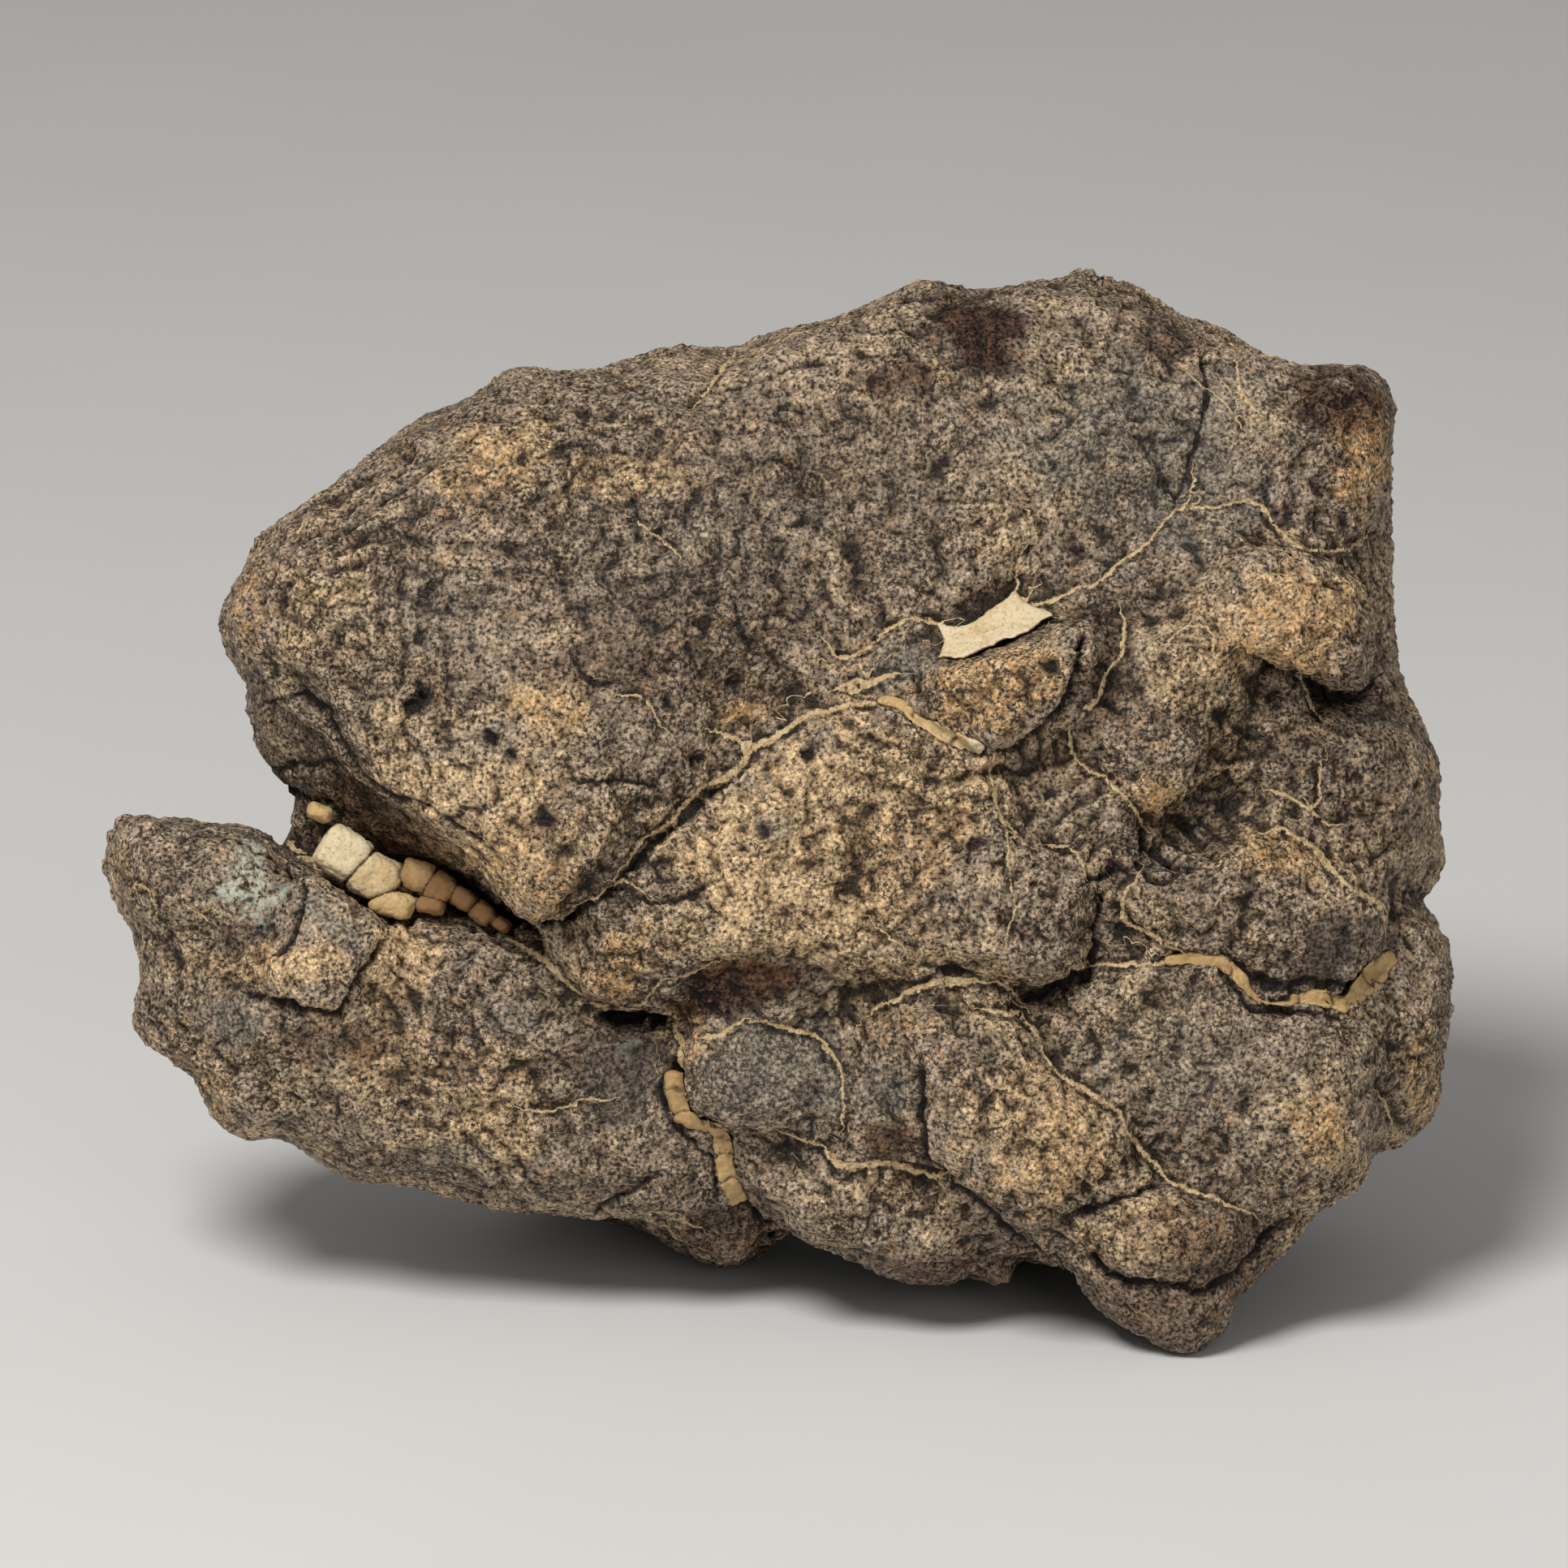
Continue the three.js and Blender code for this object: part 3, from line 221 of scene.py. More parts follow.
# Stains and zones of the face, each an ellipse with a ragged edge: x, z, half width, half height,
# turn in degrees and strength.
TAN = [
    (-25, 78.5, 7, 3.2, 20, 1), (-14, 77.2, 8, 2.2, -4, 0.8), (3, 46, 16, 9, 30, 1),
    (8, 50, 8, 5, 10, 0.5), (-24, 46, 11, 7, -25, 0.6), (-20, 57, 4.5, 2, -10, 0.7),
    (-3.4, 56.6, 3.4, 1.6, 10, 1), (19, 59, 6.5, 3.6, 20, 0.9), (44, 66, 9, 5, 10, 0.8),
    (33, 49.4, 2.4, 3, 0, 0.8), (44, 44, 3.4, 3, 0, 0.7), (22, 20, 8, 6, -40, 0.8),
    (-33.4, 34.6, 3, 4.4, 0, 0.9), (-44, 34.6, 6.5, 1.6, 0, 0.9), (10, 35.6, 9, 3.6, 0, 0.5),
    (-30, 24, 12, 6, -20, 0.45), (-8.8, 28.2, 2.4, 3.6, 0, 0.6), (47.5, 19.5, 2.8, 3.4, 0, 0.7),
    (33, 10.6, 6, 3.4, 0, 0.55), (51, 78.5, 2.6, 5, 0, 0.9), (36, 60, 4.4, 4, 0, 0.5),
    (-40, 66, 7, 5, 30, 0.3), (57, 24, 2, 8, 0, 0.5), (-53, 22, 5, 6, 0, 0.5), (9, 20, 4, 2, 0, 0.3),
    (33, 30, 8, 3, 0, 0.2), (40, 53, 4, 2.4, 0, 0.3), (-12, 36, 7, 2.6, 30, 0.35),
]
RUST = [
    (19, 58.4, 6.5, 3.4, 20, 0.9), (45, 65, 8, 4.4, 10, 0.7), (51, 79, 2.6, 5, 0, 1),
    (-20, 41, 3, 4, 0, 0.8), (-19.6, 57, 3.4, 1.6, 0, 0.7), (-3.4, 56.6, 3, 1.4, 0, 0.8),
    (33, 49.4, 2, 3, 0, 1), (44, 44, 3, 2.6, 0, 0.9), (-14.5, 34.6, 2.6, 4.4, 0, 1),
    (-8.6, 27.8, 2, 3.4, 0, 1), (47.5, 19.5, 2.6, 3.4, 0, 0.9), (-26, 78.6, 4.4, 2.2, 10, 0.5),
    (24, 18.6, 6, 5, -40, 0.5), (11, 29.2, 4.6, 1.6, 10, 0.6), (-46.8, 67.6, 1.6, 5, 0, 0.8),
    (6, 60.6, 2, 1, 0, 0.4), (12, 44, 6, 4, 0, 0.35), (56.6, 24, 2, 6, 0, 0.5), (-24, 44, 4, 3, 0, 0.5),
    (-34, 27, 6, 3, 0, 0.3),
]
# The dark ones are partly stains and partly shade painted under ledges, beside the wedge and on faces turned
# down.
DARK_STAINS_AND_SHADE = [
    (17, 90.6, 6, 3.6, -6, 1), (37, 8, 7, 5, 0, 0.6), (10.5, 86.4, 4, 2.4, 0, 0.8),
    (34.5, 89, 4, 2.6, -30, 0.7), (49, 84.4, 4.4, 3, 0, 0.9), (-4, 32.6, 6.4, 2.4, 6, 1),
    (9.4, 19, 2.2, 1.8, 0, 0.9), (49, 36.6, 4, 3.6, 0, 0.7), (-13, 62, 9, 5, 0, 0.45),
    (-4, 66, 10, 7, 0, 0.35), (-40, 27.6, 5, 2, 0, 0.6), (-36, 47.4, 7, 2, -30, 0.8),
    (-15, 25, 5, 4, 0, 0.5), (28.6, 60, 1.6, 4, -20, 0.7), (33, 3, 8, 4, 0, 0.6),
    (-4, 11, 6, 3, 0, 0.6), (14, 7.6, 8, 2, 0, 0.5), (36, 41, 3, 2, 0, 0.4), (45, 54, 6, 3, 0, 0.4),
    (-31, 58, 3, 1.6, 30, 0.5), (-21, 46.6, 2.6, 1.6, 0, 0.6), (52, 49, 5, 6, 0, 0.4),
    (-17, 42, 2.4, 1.4, 0, 0.6), (0, 79, 13, 6, 0, 0.25),
]
COOL = [
    (-8, 71, 14, 7, 10, 0.35), (-40, 38.6, 5.4, 0.9, -42, 1), (49.5, 36.4, 3.6, 3.6, 0, 1),
    (-48, 29, 2.6, 2.4, 0, 0.8), (-28.5, 17.6, 3, 1.6, 0, 0.7), (-23.6, 30, 3, 1.6, 0, 0.7),
    (-14, 25, 5, 4.4, 0, 0.8), (-0.6, 46.4, 1.6, 1.2, 0, 0.7), (-0.6, 24.6, 8, 5, 0, 0.9),
    (36, 26, 9, 5, 0, 0.5), (33, 80, 12, 9, 0, 0.8), (-16, 42, 2.4, 1, 20, 0.7),
    (10, 60.8, 3.4, 1.6, 20, 1), (5, 80, 16, 6, 0, 0.2), (-30, 66, 6, 4, 0, 0.3),
    (8.6, 23, 3, 3, 0, 0.5),
]
BLOOM = [
    (-46.8, 41.8, 2.5, 3.2, 15, 1), (-40.2, 47.8, 1.1, 0.8, 0, 0.9), (-13.2, 27.8, 1.2, 0.35, 15, 0.9),
]
# A stain fades between these shares of its half width and half height.
STAIN_EDGE = (0.55, 1.25)


def to_face(points):
    """Points in metres, as x, z and depth drawn on the face in millimetres."""
    placed = points / MM - FACE_PLACE
    cos, sin = math.cos(FACE_LEAN), math.sin(FACE_LEAN)
    depth = placed[:, 1] * cos - placed[:, 2] * sin
    height = placed[:, 1] * sin + placed[:, 2] * cos
    share = 1 + depth / EYE_DISTANCE
    return SIGHT_X + (placed[:, 0] - SIGHT_X) / share, SIGHT_Z + (height - SIGHT_Z) / share, depth


def from_face(x, z, depth):
    """Points in metres from x, z and depth drawn on the face in millimetres."""
    cos, sin = math.cos(FACE_LEAN), math.sin(FACE_LEAN)
    share = 1 + depth / EYE_DISTANCE
    height = SIGHT_Z + (z - SIGHT_Z) * share
    across = SIGHT_X + (x - SIGHT_X) * share
    placed = np.stack([across, depth * cos + height * sin, height * cos - depth * sin], axis=1)
    return (placed + FACE_PLACE) * MM


def smoothstep(low, high, value):
    """0 below low, 1 above high, and a smooth rise between."""
    t = np.clip((value - low) / (high - low), 0, 1)
    return t * t * (3 - 2 * t)


class Noise:
    """Smooth gradient noise from about -1 to 1, the same for the same seed."""
    SIZE = 256
    GAIN = 1.6

    def __init__(self, seed):
        random = np.random.default_rng(seed)
        self.order = random.permutation(self.SIZE)
        steps = random.normal(size=(self.SIZE, 3))
        self.steps = steps / np.linalg.norm(steps, axis=1, keepdims=True)

    def __call__(self, points, period):
        cells = points / period
        base = np.floor(cells).astype(int)
        part = cells - base
        fade = part ** 3 * (part * (part * 6 - 15) + 10)
        total = np.zeros(len(points))
        for corner in itertools.product((0, 1), repeat=3):
            x, y, z = ((base + corner) % self.SIZE).T
            pick = self.order[(self.order[x] + y) % self.SIZE]
            pick = self.order[(pick + z) % self.SIZE]
            rise = (self.steps[pick] * (part - corner)).sum(1)
            total += np.where(corner, fade, 1 - fade).prod(1) * rise
        return total * self.GAIN


def layers(table, points, start=0):
    """Several noises added up, each with its seed, period and strength."""
    return sum((size * Noise(seed)(points, period) for seed, period, size in table), start)


def bent(points, seeds, period, amount):
    """Points moved about by noise, by up to about the amount along each axis."""
    return points + amount * np.stack([Noise(seed)(points, period) for seed in seeds], axis=1)


# Mesh work.

def coordinates(obj):
    flat = np.empty(len(obj.data.vertices) * 3, np.float32)
    obj.data.vertices.foreach_get("co", flat)
    return flat.reshape(-1, 3).astype(float)


def place(obj, points):
    obj.data.vertices.foreach_set("co", points.astype(np.float32).ravel())
    obj.data.update()


def normals(obj):
    flat = np.empty(len(obj.data.vertices) * 3, np.float32)
    obj.data.vertex_normals.foreach_get("vector", flat)
    return flat.reshape(-1, 3).astype(float)


def edges(obj):
    flat = np.empty(len(obj.data.edges) * 2, np.int32)
    obj.data.edges.foreach_get("vertices", flat)
    return flat.reshape(-1, 2)


def smoothed(values, pairs, rounds, amount=1):
    """Values of the vertices averaged with their neighbours', so many times. The amount may differ
    from vertex to vertex."""
    first, second = pairs.T
    count = len(values)
    share = np.bincount(first, minlength=count) + np.bincount(second, minlength=count)
    share = np.maximum(share, 1)[:, None]
    columns = values.reshape(count, -1).astype(float)
    amount = np.broadcast_to(np.asarray(amount, float), (count,))[:, None]
    for _ in range(rounds):
        mean = np.stack([
            np.bincount(first, column[second], count) + np.bincount(second, column[first], count)
            for column in columns.T
        ], axis=1) / share
        columns = columns + (mean - columns) * amount
    return columns.reshape(values.shape)


def applied(obj, kind, **settings):
    """obj with one modifier of that kind worked into its mesh."""
    modifier = obj.modifiers.new(kind, kind)
    for name, value in settings.items():
        setattr(modifier, name, value)
    graph = bpy.context.evaluated_depsgraph_get()
    mesh = bpy.data.meshes.new_from_object(obj.evaluated_get(graph), depsgraph=graph)
    obj.modifiers.clear()
    old, obj.data = obj.data, mesh
    bpy.data.meshes.remove(old)
    return obj


def new_object(name, points, faces):
    mesh = bpy.data.meshes.new(name)
    mesh.from_pydata(points, [], faces)
    obj = bpy.data.objects.new(name, mesh)
    bpy.context.scene.collection.objects.link(obj)
    return obj


def reskinned(obj, voxel):
    """obj with one closed skin round all that it holds, with quads of one voxel."""
    return applied(obj, "REMESH", mode="VOXEL", voxel_size=voxel)


def copied(nodes, name, voxel):
    """A new object of one closed skin round CAD nodes."""
    points, faces = [], []
    for node in nodes:
        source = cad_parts[node].data
        start = len(points)
        points += [v.co.copy() for v in source.vertices]
        faces += [[start + i for i in p.vertices] for p in source.polygons]
    return reskinned(new_object(name, points, faces), voxel)


def distances(x, z, path, margin):
    """Signed distance from points of the face to a path of (x, z, width) points, left of it positive,
    and the path's half width there. Points further off than margin get margin and a half width of 0."""
    side = np.full(len(x), float(margin))
    half = np.zeros(len(x))
    line = np.array(path, float)
    low, high = line[:, :2].min(0) - margin, line[:, :2].max(0) + margin
    near = np.flatnonzero((x > low[0]) & (x < high[0]) & (z > low[1]) & (z < high[1]))
    if not len(near):
        return side, half
    px, pz = x[near], z[near]
    best = np.full(len(near), float(margin))
    signed, width = best.copy(), np.zeros(len(near))
    for (ax, az, aw), (bx, bz, bw) in zip(line[:-1], line[1:]):
        ex, ez = bx - ax, bz - az
        length = math.hypot(ex, ez)
        along = np.clip(((px - ax) * ex + (pz - az) * ez) / length ** 2, 0, 1)
        dx, dz = px - ax - along * ex, pz - az - along * ez
        gap = np.hypot(dx, dz)
        closer = gap < best
        best = np.where(closer, gap, best)
        turn = np.where(ex * dz - ez * dx >= 0, 1, -1)
        signed = np.where(closer, turn * gap, signed)
        width = np.where(closer, (aw + along * (bw - aw)) / 2, width)
    side[near], half[near] = signed, width
    return side, half


def nearest_line(x, z, paths, margin):
    """Signed distance and half width of whichever of several paths is nearest, and its number."""
    side = np.full(len(x), float(margin))
    half = np.zeros(len(x))
    which = np.full(len(x), -1)
    for number, path in enumerate(paths):
        new_side, new_half = distances(x, z, path, margin)
        closer = np.abs(new_side) < np.abs(side)
        side = np.where(closer, new_side, side)
        half = np.where(closer, new_half, half)
        which = np.where(closer, number, which)
    return side, half, which


def inside_outline(x, z, outline):
    """Whether points of the face lie inside a closed outline."""
    within = np.zeros(len(x), bool)
    for (ax, az), (bx, bz) in zip(outline, outline[1:] + outline[:1]):
        if az == bz:
            continue
        crosses = (az > z) != (bz > z)
        within ^= crosses & (x < ax + (z - az) * (bx - ax) / (bz - az))
    return within


def stains(x, z, ellipses, ragged):
    """The strongest of several stains at points of the face. ragged moves their edges."""
    strength = np.zeros(len(x))
    for cx, cz, rx, rz, degrees, most in ellipses:
        turn = math.radians(degrees)
        dx, dz = x - cx, z - cz
        along = (dx * math.cos(turn) + dz * math.sin(turn)) / rx
        across = (dz * math.cos(turn) - dx * math.sin(turn)) / rz
        inside = 1 - smoothstep(*STAIN_EDGE, np.hypot(along, across) + ragged)
        strength = np.maximum(strength, most * inside)
    return strength


def store(obj, name, values):
    attribute = obj.data.attributes.new(name, "FLOAT", "POINT")
    attribute.data.foreach_set("value", values.astype(np.float32))


# The stone.

# What the nodes of caliche follow: a path of (x, z, width) points each, and the flat patch's outline.
SEAMS = {
    "caliche_lower_seam": [
        (-9.4, 25.1, 1.5), (-9.3, 23.3, 1.9), (-8.6, 21.2, 1.8), (-7, 20.4, 1.1), (-5.6, 20, 1.4),
        (-5, 18.8, 1.8), (-4.9, 17, 1.7), (-4.4, 15.2, 1.8), (-3.6, 13.6, 1.8),
    ],
    "caliche_right_seam": [
        (33.6, 34.9, 0.7), (36, 35.1, 1.2), (38.6, 34.8, 1.3), (39.9, 33.9, 1.1), (41, 32.5, 0.9),
        (42.2, 31.3, 0.8), (44.4, 31.3, 0.7), (46.4, 31.8, 1.5), (47.8, 31.6, 1.5), (49.4, 31, 1.3),
        (50.8, 32.2, 1.9), (52.4, 33.9, 2), (53.8, 35.4, 1.4),
    ],
    "caliche_centre_seam": [
        (8.4, 57.8, 0.7), (10.4, 57.5, 0.9), (12, 56.2, 1.2), (14, 55, 1.3), (16, 54, 1.4),
        (17.6, 53.1, 1.8),
    ],
}
PATCH = [
    (13.4, 64.8), (16.2, 64.3), (18.5, 65.9), (20.6, 67.6), (21.5, 66.4), (24.2, 65.4), (21.5, 63.6),
    (19.5, 62.8), (17, 62), (15.4, 61.3), (13.7, 61.4), (14.4, 62.8),
]
# The place round the patch, in the same terms as a stain, and how much smoother and flatter the stone
# is there.
PATCH_PLACE = (18.8, 64, 7.6, 3.6, 22, 1)
PATCH_SMOOTHNESS = 0.9
PATCH_FLATNESS = 0.6

# The outline of the stone on the face, clockwise from the mouth of the fracture.
OUTLINE = [
    (-44.4, 46.2), (-47.3, 46.9), (-50, 45.9), (-54.4, 47.1), (-58, 47.8), (-58.9, 47.1), (-59.1, 45.9),
    (-58.9, 44.4), (-59.1, 41.6), (-59, 40.5), (-58, 38.6), (-57.1, 37.6), (-56.6, 35.1), (-56.3, 33.7),
    (-57.1, 30.1), (-57.2, 29.1), (-56.2, 27.6), (-54.4, 26.6), (-53, 25.3), (-51.9, 24.8),
    (-51.2, 23.4), (-50.5, 21.6), (-49.6, 20.3), (-48.4, 19.4), (-46.2, 18.7), (-45.1, 19.2),
    (-44.1, 19.2), (-43, 18.6), (-41.6, 17.6), (-40.1, 16.6), (-37.6, 15.1), (-33, 15.1), (-30.9, 14.3),
    (-27.3, 13.5), (-25.9, 12.8), (-18.7, 12.3), (-13.7, 11.6), (-11.6, 10.9), (-9.4, 9.4), (-7.3, 8.4),
    (-5.1, 7.8), (-3.7, 7.8), (-2.3, 8.4), (-0.9, 9.3), (0.9, 11), (2.7, 9.8), (4.9, 8.9), (7, 8),
    (9.1, 6.9), (11.3, 6.4), (14.9, 6.2), (15.6, 6.7), (16.6, 6.9), (19.5, 6.2), (20.4, 6.6),
    (20.7, 7.3), (20.4, 8), (21.6, 8.4), (24.1, 7.6), (25.6, 6.9), (26.3, 6.2), (26.6, 5.1),
    (27.4, 4.3), (28.8, 3.4), (30.6, 2.3), (32.7, 1.2), (34.1, 0.3), (35.6, 0), (37, 0.5), (38.4, 1.6),
    (39.5, 2.6), (39.9, 4.1), (40.2, 5.1), (41.3, 6.2), (42.7, 7.3), (44.1, 8.7), (45.6, 10.1),
    (46.6, 11.9), (47.7, 13), (49.1, 13.9), (50.6, 14.2), (51.6, 15.1), (52, 16.2), (52.1, 17.3),
    (52.5, 18.1), (54.1, 18.1), (55.6, 19.1), (57.4, 20.9), (57.9, 21.9), (58.3, 23.7), (58.4, 25.9),
    (58.8, 28), (59.3, 30.9), (59, 31.9), (59.3, 33.7), (59.1, 35.1), (58.8, 36.6), (58.1, 37.6),
    (57, 38.5), (56.3, 38.9), (56.1, 39.6), (56.6, 40.5), (57.6, 41.2), (58.1, 42.3), (58.6, 43.7),
    (58.4, 45.1), (57.9, 48), (58.3, 51.6), (57.9, 53), (57.1, 54.4), (56.6, 55.9), (55.2, 58.7),
    (54.5, 60.9), (54, 65.9), (53.9, 78.7), (54.1, 81.6), (54.3, 83.7), (54, 84.8), (53.1, 86.2),
    (52, 87.1), (50.9, 87.5), (45.6, 87.4), (44.1, 87.9), (42.7, 88.2), (41.3, 89.1), (39.9, 90.1),
    (38.4, 90.9), (35.6, 91.7), (34.1, 92.6), (31.3, 94.4), (28.4, 95.1), (27, 96.1), (25.9, 95.9),
    (24.9, 95.1), (23.4, 94.8), (21.3, 94.6), (19.9, 94.1), (17.7, 93.9), (16.3, 94), (13.8, 94.8),
    (12.7, 95.1), (11.6, 94.8), (10.6, 93.9), (9.1, 93.1), (7, 92.6), (5.2, 91.6), (0.6, 90.5),
    (-0.9, 90.3), (-2.3, 89.9), (-3, 89.1), (-4.8, 88.6), (-8.7, 89.2), (-11.6, 88.6), (-14.4, 87.5),
    (-15.9, 86.9), (-18.7, 86.8), (-21.6, 87.3), (-24.4, 86.9), (-25.5, 85.9), (-26.6, 84.9),
    (-28, 84.1), (-31.6, 82.9), (-33, 81.9), (-38, 78), (-39.4, 76.9), (-40.9, 76.1), (-42.3, 74.8),
    (-45.1, 73.1), (-46.2, 72.3), (-46.7, 71.2), (-47.1, 69.2), (-48, 68), (-48.9, 66.9), (-49.4, 65.9),
    (-49.6, 64.8), (-49.4, 63.7), (-49.1, 62.3), (-48.4, 61.2), (-47.5, 59.8), (-46.9, 58.7),
    (-47.2, 57.6), (-47.1, 56.6), (-46.4, 55.1), (-46, 53.4), (-45.4, 51.4), (-44.1, 50.7),
    (-43.1, 49.6), (-42.2, 48.7), (-44.1, 48),
]
# Its middle, how far a point of the rim is moved to meet it at most, how many directions from the
# middle are told apart, and those, in degrees, where it turns back on itself and is left alone.
MIDDLE_X = 2
MIDDLE_Z = 50
MOST_SHIFT = 1.6
SECTORS = 720
NOTCH = (174, 187)
# From what share of its radius a sector's rim begins, and where the shift fades in toward it.
RIM_SHARE = 0.985
SHIFT_FADE = (0.8, 0.97)
# A jag is what differs from the mean of so many sectors on each side. It reaches this far in depth.
JAG_SECTORS = 10
JAG_DEPTH = 6

# The relief that covers the stone, as the seed, period and height of each layer in millimetres: soft
# swells, and lumps with sharp creases between them. All of it is warped by so much.
SWELLS = [(31, 12, 0.5), (32, 4.5, 0.15)]
LUMPS = [(37, 6.5, 0.5), (38, 3.4, 0.45), (39, 1.9, 0.5), (40, 1.05, 0.36)]
RELIEF_WARP = 0.9
# A lump is the size of its noise times a gain, cut off at a top, and counted from a middle. Lumps
# are lower in some places than in others: the least share of their height, and how much it rises.
LUMP_GAIN = 1.5
LUMP_TOP = 0.75
LUMP_MIDDLE = 0.3
LEAST_ROUGH = 0.55
MORE_ROUGH = 0.45
# Where layers of the stone have flaked off: how many steps a noise is cut into, where in each the
# edge is, and its height. Then the depth of the dents.
FLAKE_STEPS = 5
FLAKE_EDGE = (0.42, 0.58)
FLAKE_HEIGHT = 0.4
DENT_DEPTH = 0.25

# The lips of the fracture, which stay sharper than the rest, in the terms of a vein.
FRACTURE_LIP = [
    (-46, 51.6, 0), (-42.2, 48.7, 0), (-37.3, 45.1, 0), (-28.7, 42.3, 0), (-25, 39.2, 0),
    (-33, 39.4, 0), (-36.6, 39.9, 0), (-40.1, 43, 0), (-44.6, 46.3, 0),
]

# Seed, period in millimetres and strength of the paler and darker clouds in the stone, of the greyer
# and browner ones, of what moves the cracks and veins along x and z, and of what frays the stains.
CLOUDS = [(131, 15, 0.5), (132, 6.5, 0.4), (133, 3, 0.45), (134, 1.4, 0.35)]
HUES = [(141, 9, 0.7), (142, 3.6, 0.6), (143, 1.7, 0.6)]
RAGGED_X = [(71, 1.6, 0.22), (72, 3.4, 0.25)]
RAGGED_Z = [(73, 1.6, 0.22), (74, 3.4, 0.25)]
FRAYED = [(81, 3.5, 0.5), (82, 1.4, 0.35), (83, 8, 0.3)]

# Stains of the face by the name of their attribute; the dark ones are partly painted shade. Where
# the face ends, noise of this seed takes their place, and stains what lies between a lower and an
# upper level.
ZONES = {
    "tan": (TAN, 91, 0.15, 0.8),
    "rust": (RUST, 93, 0.3, 0.9),
    "dark": (DARK_STAINS_AND_SHADE, 95, 0.3, 0.9),
    "cool": (COOL, 97, 0.3, 0.9),
}

# Seed and period of the veins that wander over the sides that aren't seen, their least half width,
# and how much wider they are at most.
WANDERING = [(61, 30), (64, 24)]
LEAST_WANDERING = 0.04
MORE_WANDERING = 0.2

# Half the width of the valleys between the forms that are filled, in millimetres, how much more of
# them is filled beside the seam on the right, and from what depth a crack keeps its valley open.
MOST_FILLING = 2.4
SEAM_FILLING = 2
OPEN_CREVICE = 1.2

# How far from a crack or vein its distance is kept, in millimetres, and the share of their drawn
# widths that cracks and veins have.
LINE_MARGIN = 2
CRACK_SHARE = 0.6
VEIN_SHARE = 0.5
# How high a vein stands, how deep the groove beside it is, and how deep the beds of the caliche are.
VEIN_RIDGE = 0.3
VEIN_GROOVE = 0.3
SEAM_BED = 1.5
PATCH_BED = 0.8

# Rounds of smoothing and strength of the hollows, small and wide, whose depth the material paints
# as shade in the hollows and as light on the ridges.
HOLLOWS = [(3, 4), (12, 0.7)]

# The thinning works in this many steps from the face to the side turned away, with this weight on
# the face at least, and this factor on the weights.
THINNING_LEVELS = 8
LEAST_THINNING = 0.1
THINNING_FACTOR = 0.000002


def outline_reach(angle):
    """How far the drawn outline lies from its middle in each direction."""
    dx, dz = np.cos(angle), np.sin(angle)
    farthest = np.zeros(len(angle))
    for (ax, az), (bx, bz) in zip(OUTLINE, OUTLINE[1:] + OUTLINE[:1]):
        ex, ez = bx - ax, bz - az
        across = dx * ez - dz * ex
        px, pz = ax - MIDDLE_X, az - MIDDLE_Z
        with np.errstate(divide="ignore", invalid="ignore"):
            reach = (px * ez - pz * ex) / across
            along = (px * dz - pz * dx) / across
        hit = (along >= 0) & (along <= 1) & (reach > 0)
        farthest = np.where(hit, np.maximum(farthest, np.nan_to_num(reach)), farthest)
    return farthest


def outline_shift(x, z, depth):
    """How far each point moves to the right and up the face so that the rim meets the outline."""
    dx, dz = x - MIDDLE_X, z - MIDDLE_Z
    radius = np.hypot(dx, dz)
    angle = np.arctan2(dz, dx) % (2 * math.pi)
    sector = (angle / (2 * math.pi) * SECTORS).astype(int) % SECTORS
    rim = np.zeros(SECTORS)
    np.maximum.at(rim, sector, radius)
    middle = (np.arange(SECTORS) + 0.5) / SECTORS * 2 * math.pi
    shift = np.clip(outline_reach(middle) - rim, -MOST_SHIFT, MOST_SHIFT)
    degrees = np.degrees(middle)
    shift[(degrees > NOTCH[0]) & (degrees < NOTCH[1])] = 0
    shift = (np.roll(shift, 1) + 2 * shift + np.roll(shift, -1)) / 4

    # Its small jags are kept near the depth of the rim, so that they don't run on over the sides.
    outermost = radius > RIM_SHARE * rim[sector]
    count = np.bincount(sector[outermost], minlength=SECTORS)
    rim_depth = np.bincount(sector[outermost], depth[outermost], SECTORS) / np.maximum(count, 1)
    turns = range(-JAG_SECTORS, JAG_SECTORS + 1)
    wide_shift = sum(np.roll(shift, turn) for turn in turns) / len(turns)
    rim_depth = sum(np.roll(rim_depth, turn) for turn in turns) / len(turns)
    near = np.exp(-((depth - rim_depth[sector]) / JAG_DEPTH) ** 2)
    move = wide_shift[sector] + (shift - wide_shift)[sector] * near
    move *= smoothstep(*SHIFT_FADE, radius / rim[sector])
    return move * dx / radius, move * dz / radius


def stone_relief(points):
    """Height in millimetres of the rough relief at points in millimetres."""
    warped = bent(points, (21, 22, 23), 7, RELIEF_WARP)
    height = layers(SWELLS, warped)
    rough = LEAST_ROUGH + MORE_ROUGH * smoothstep(-0.4, 0.4, Noise(36)(points, 13))
    for seed, period, size in LUMPS:
        lump = np.minimum(np.abs(Noise(seed)(warped, period)) * LUMP_GAIN, LUMP_TOP)
        height += size * rough * (lump - LUMP_MIDDLE)
    layer = Noise(46)(warped, 15) * FLAKE_STEPS
    part = layer - np.floor(layer)
    flaked = smoothstep(-0.1, 0.3, Noise(47)(points, 18))
    height += flaked * FLAKE_HEIGHT * (smoothstep(*FLAKE_EDGE, part) - part)
    height -= DENT_DEPTH * smoothstep(0.3, 0.75, Noise(48)(warped, 4.2))
    return height


def wandering(points):
    """Lines that wander over the whole stone, as a signed distance in millimetres and a half width."""
    warped = bent(points, (51, 52, 53), 3, 1.2)
    lines = []
    for seed, period in WANDERING:
        side = Noise(seed)(warped, period) * period * 0.62
        shown = smoothstep(-0.05, 0.35, Noise(seed + 1)(points, 16))
        wide = smoothstep(-0.6, 0.6, Noise(seed + 2)(points, 5))
        lines.append((side, (LEAST_WANDERING + MORE_WANDERING * wide) * shown))
    return lines


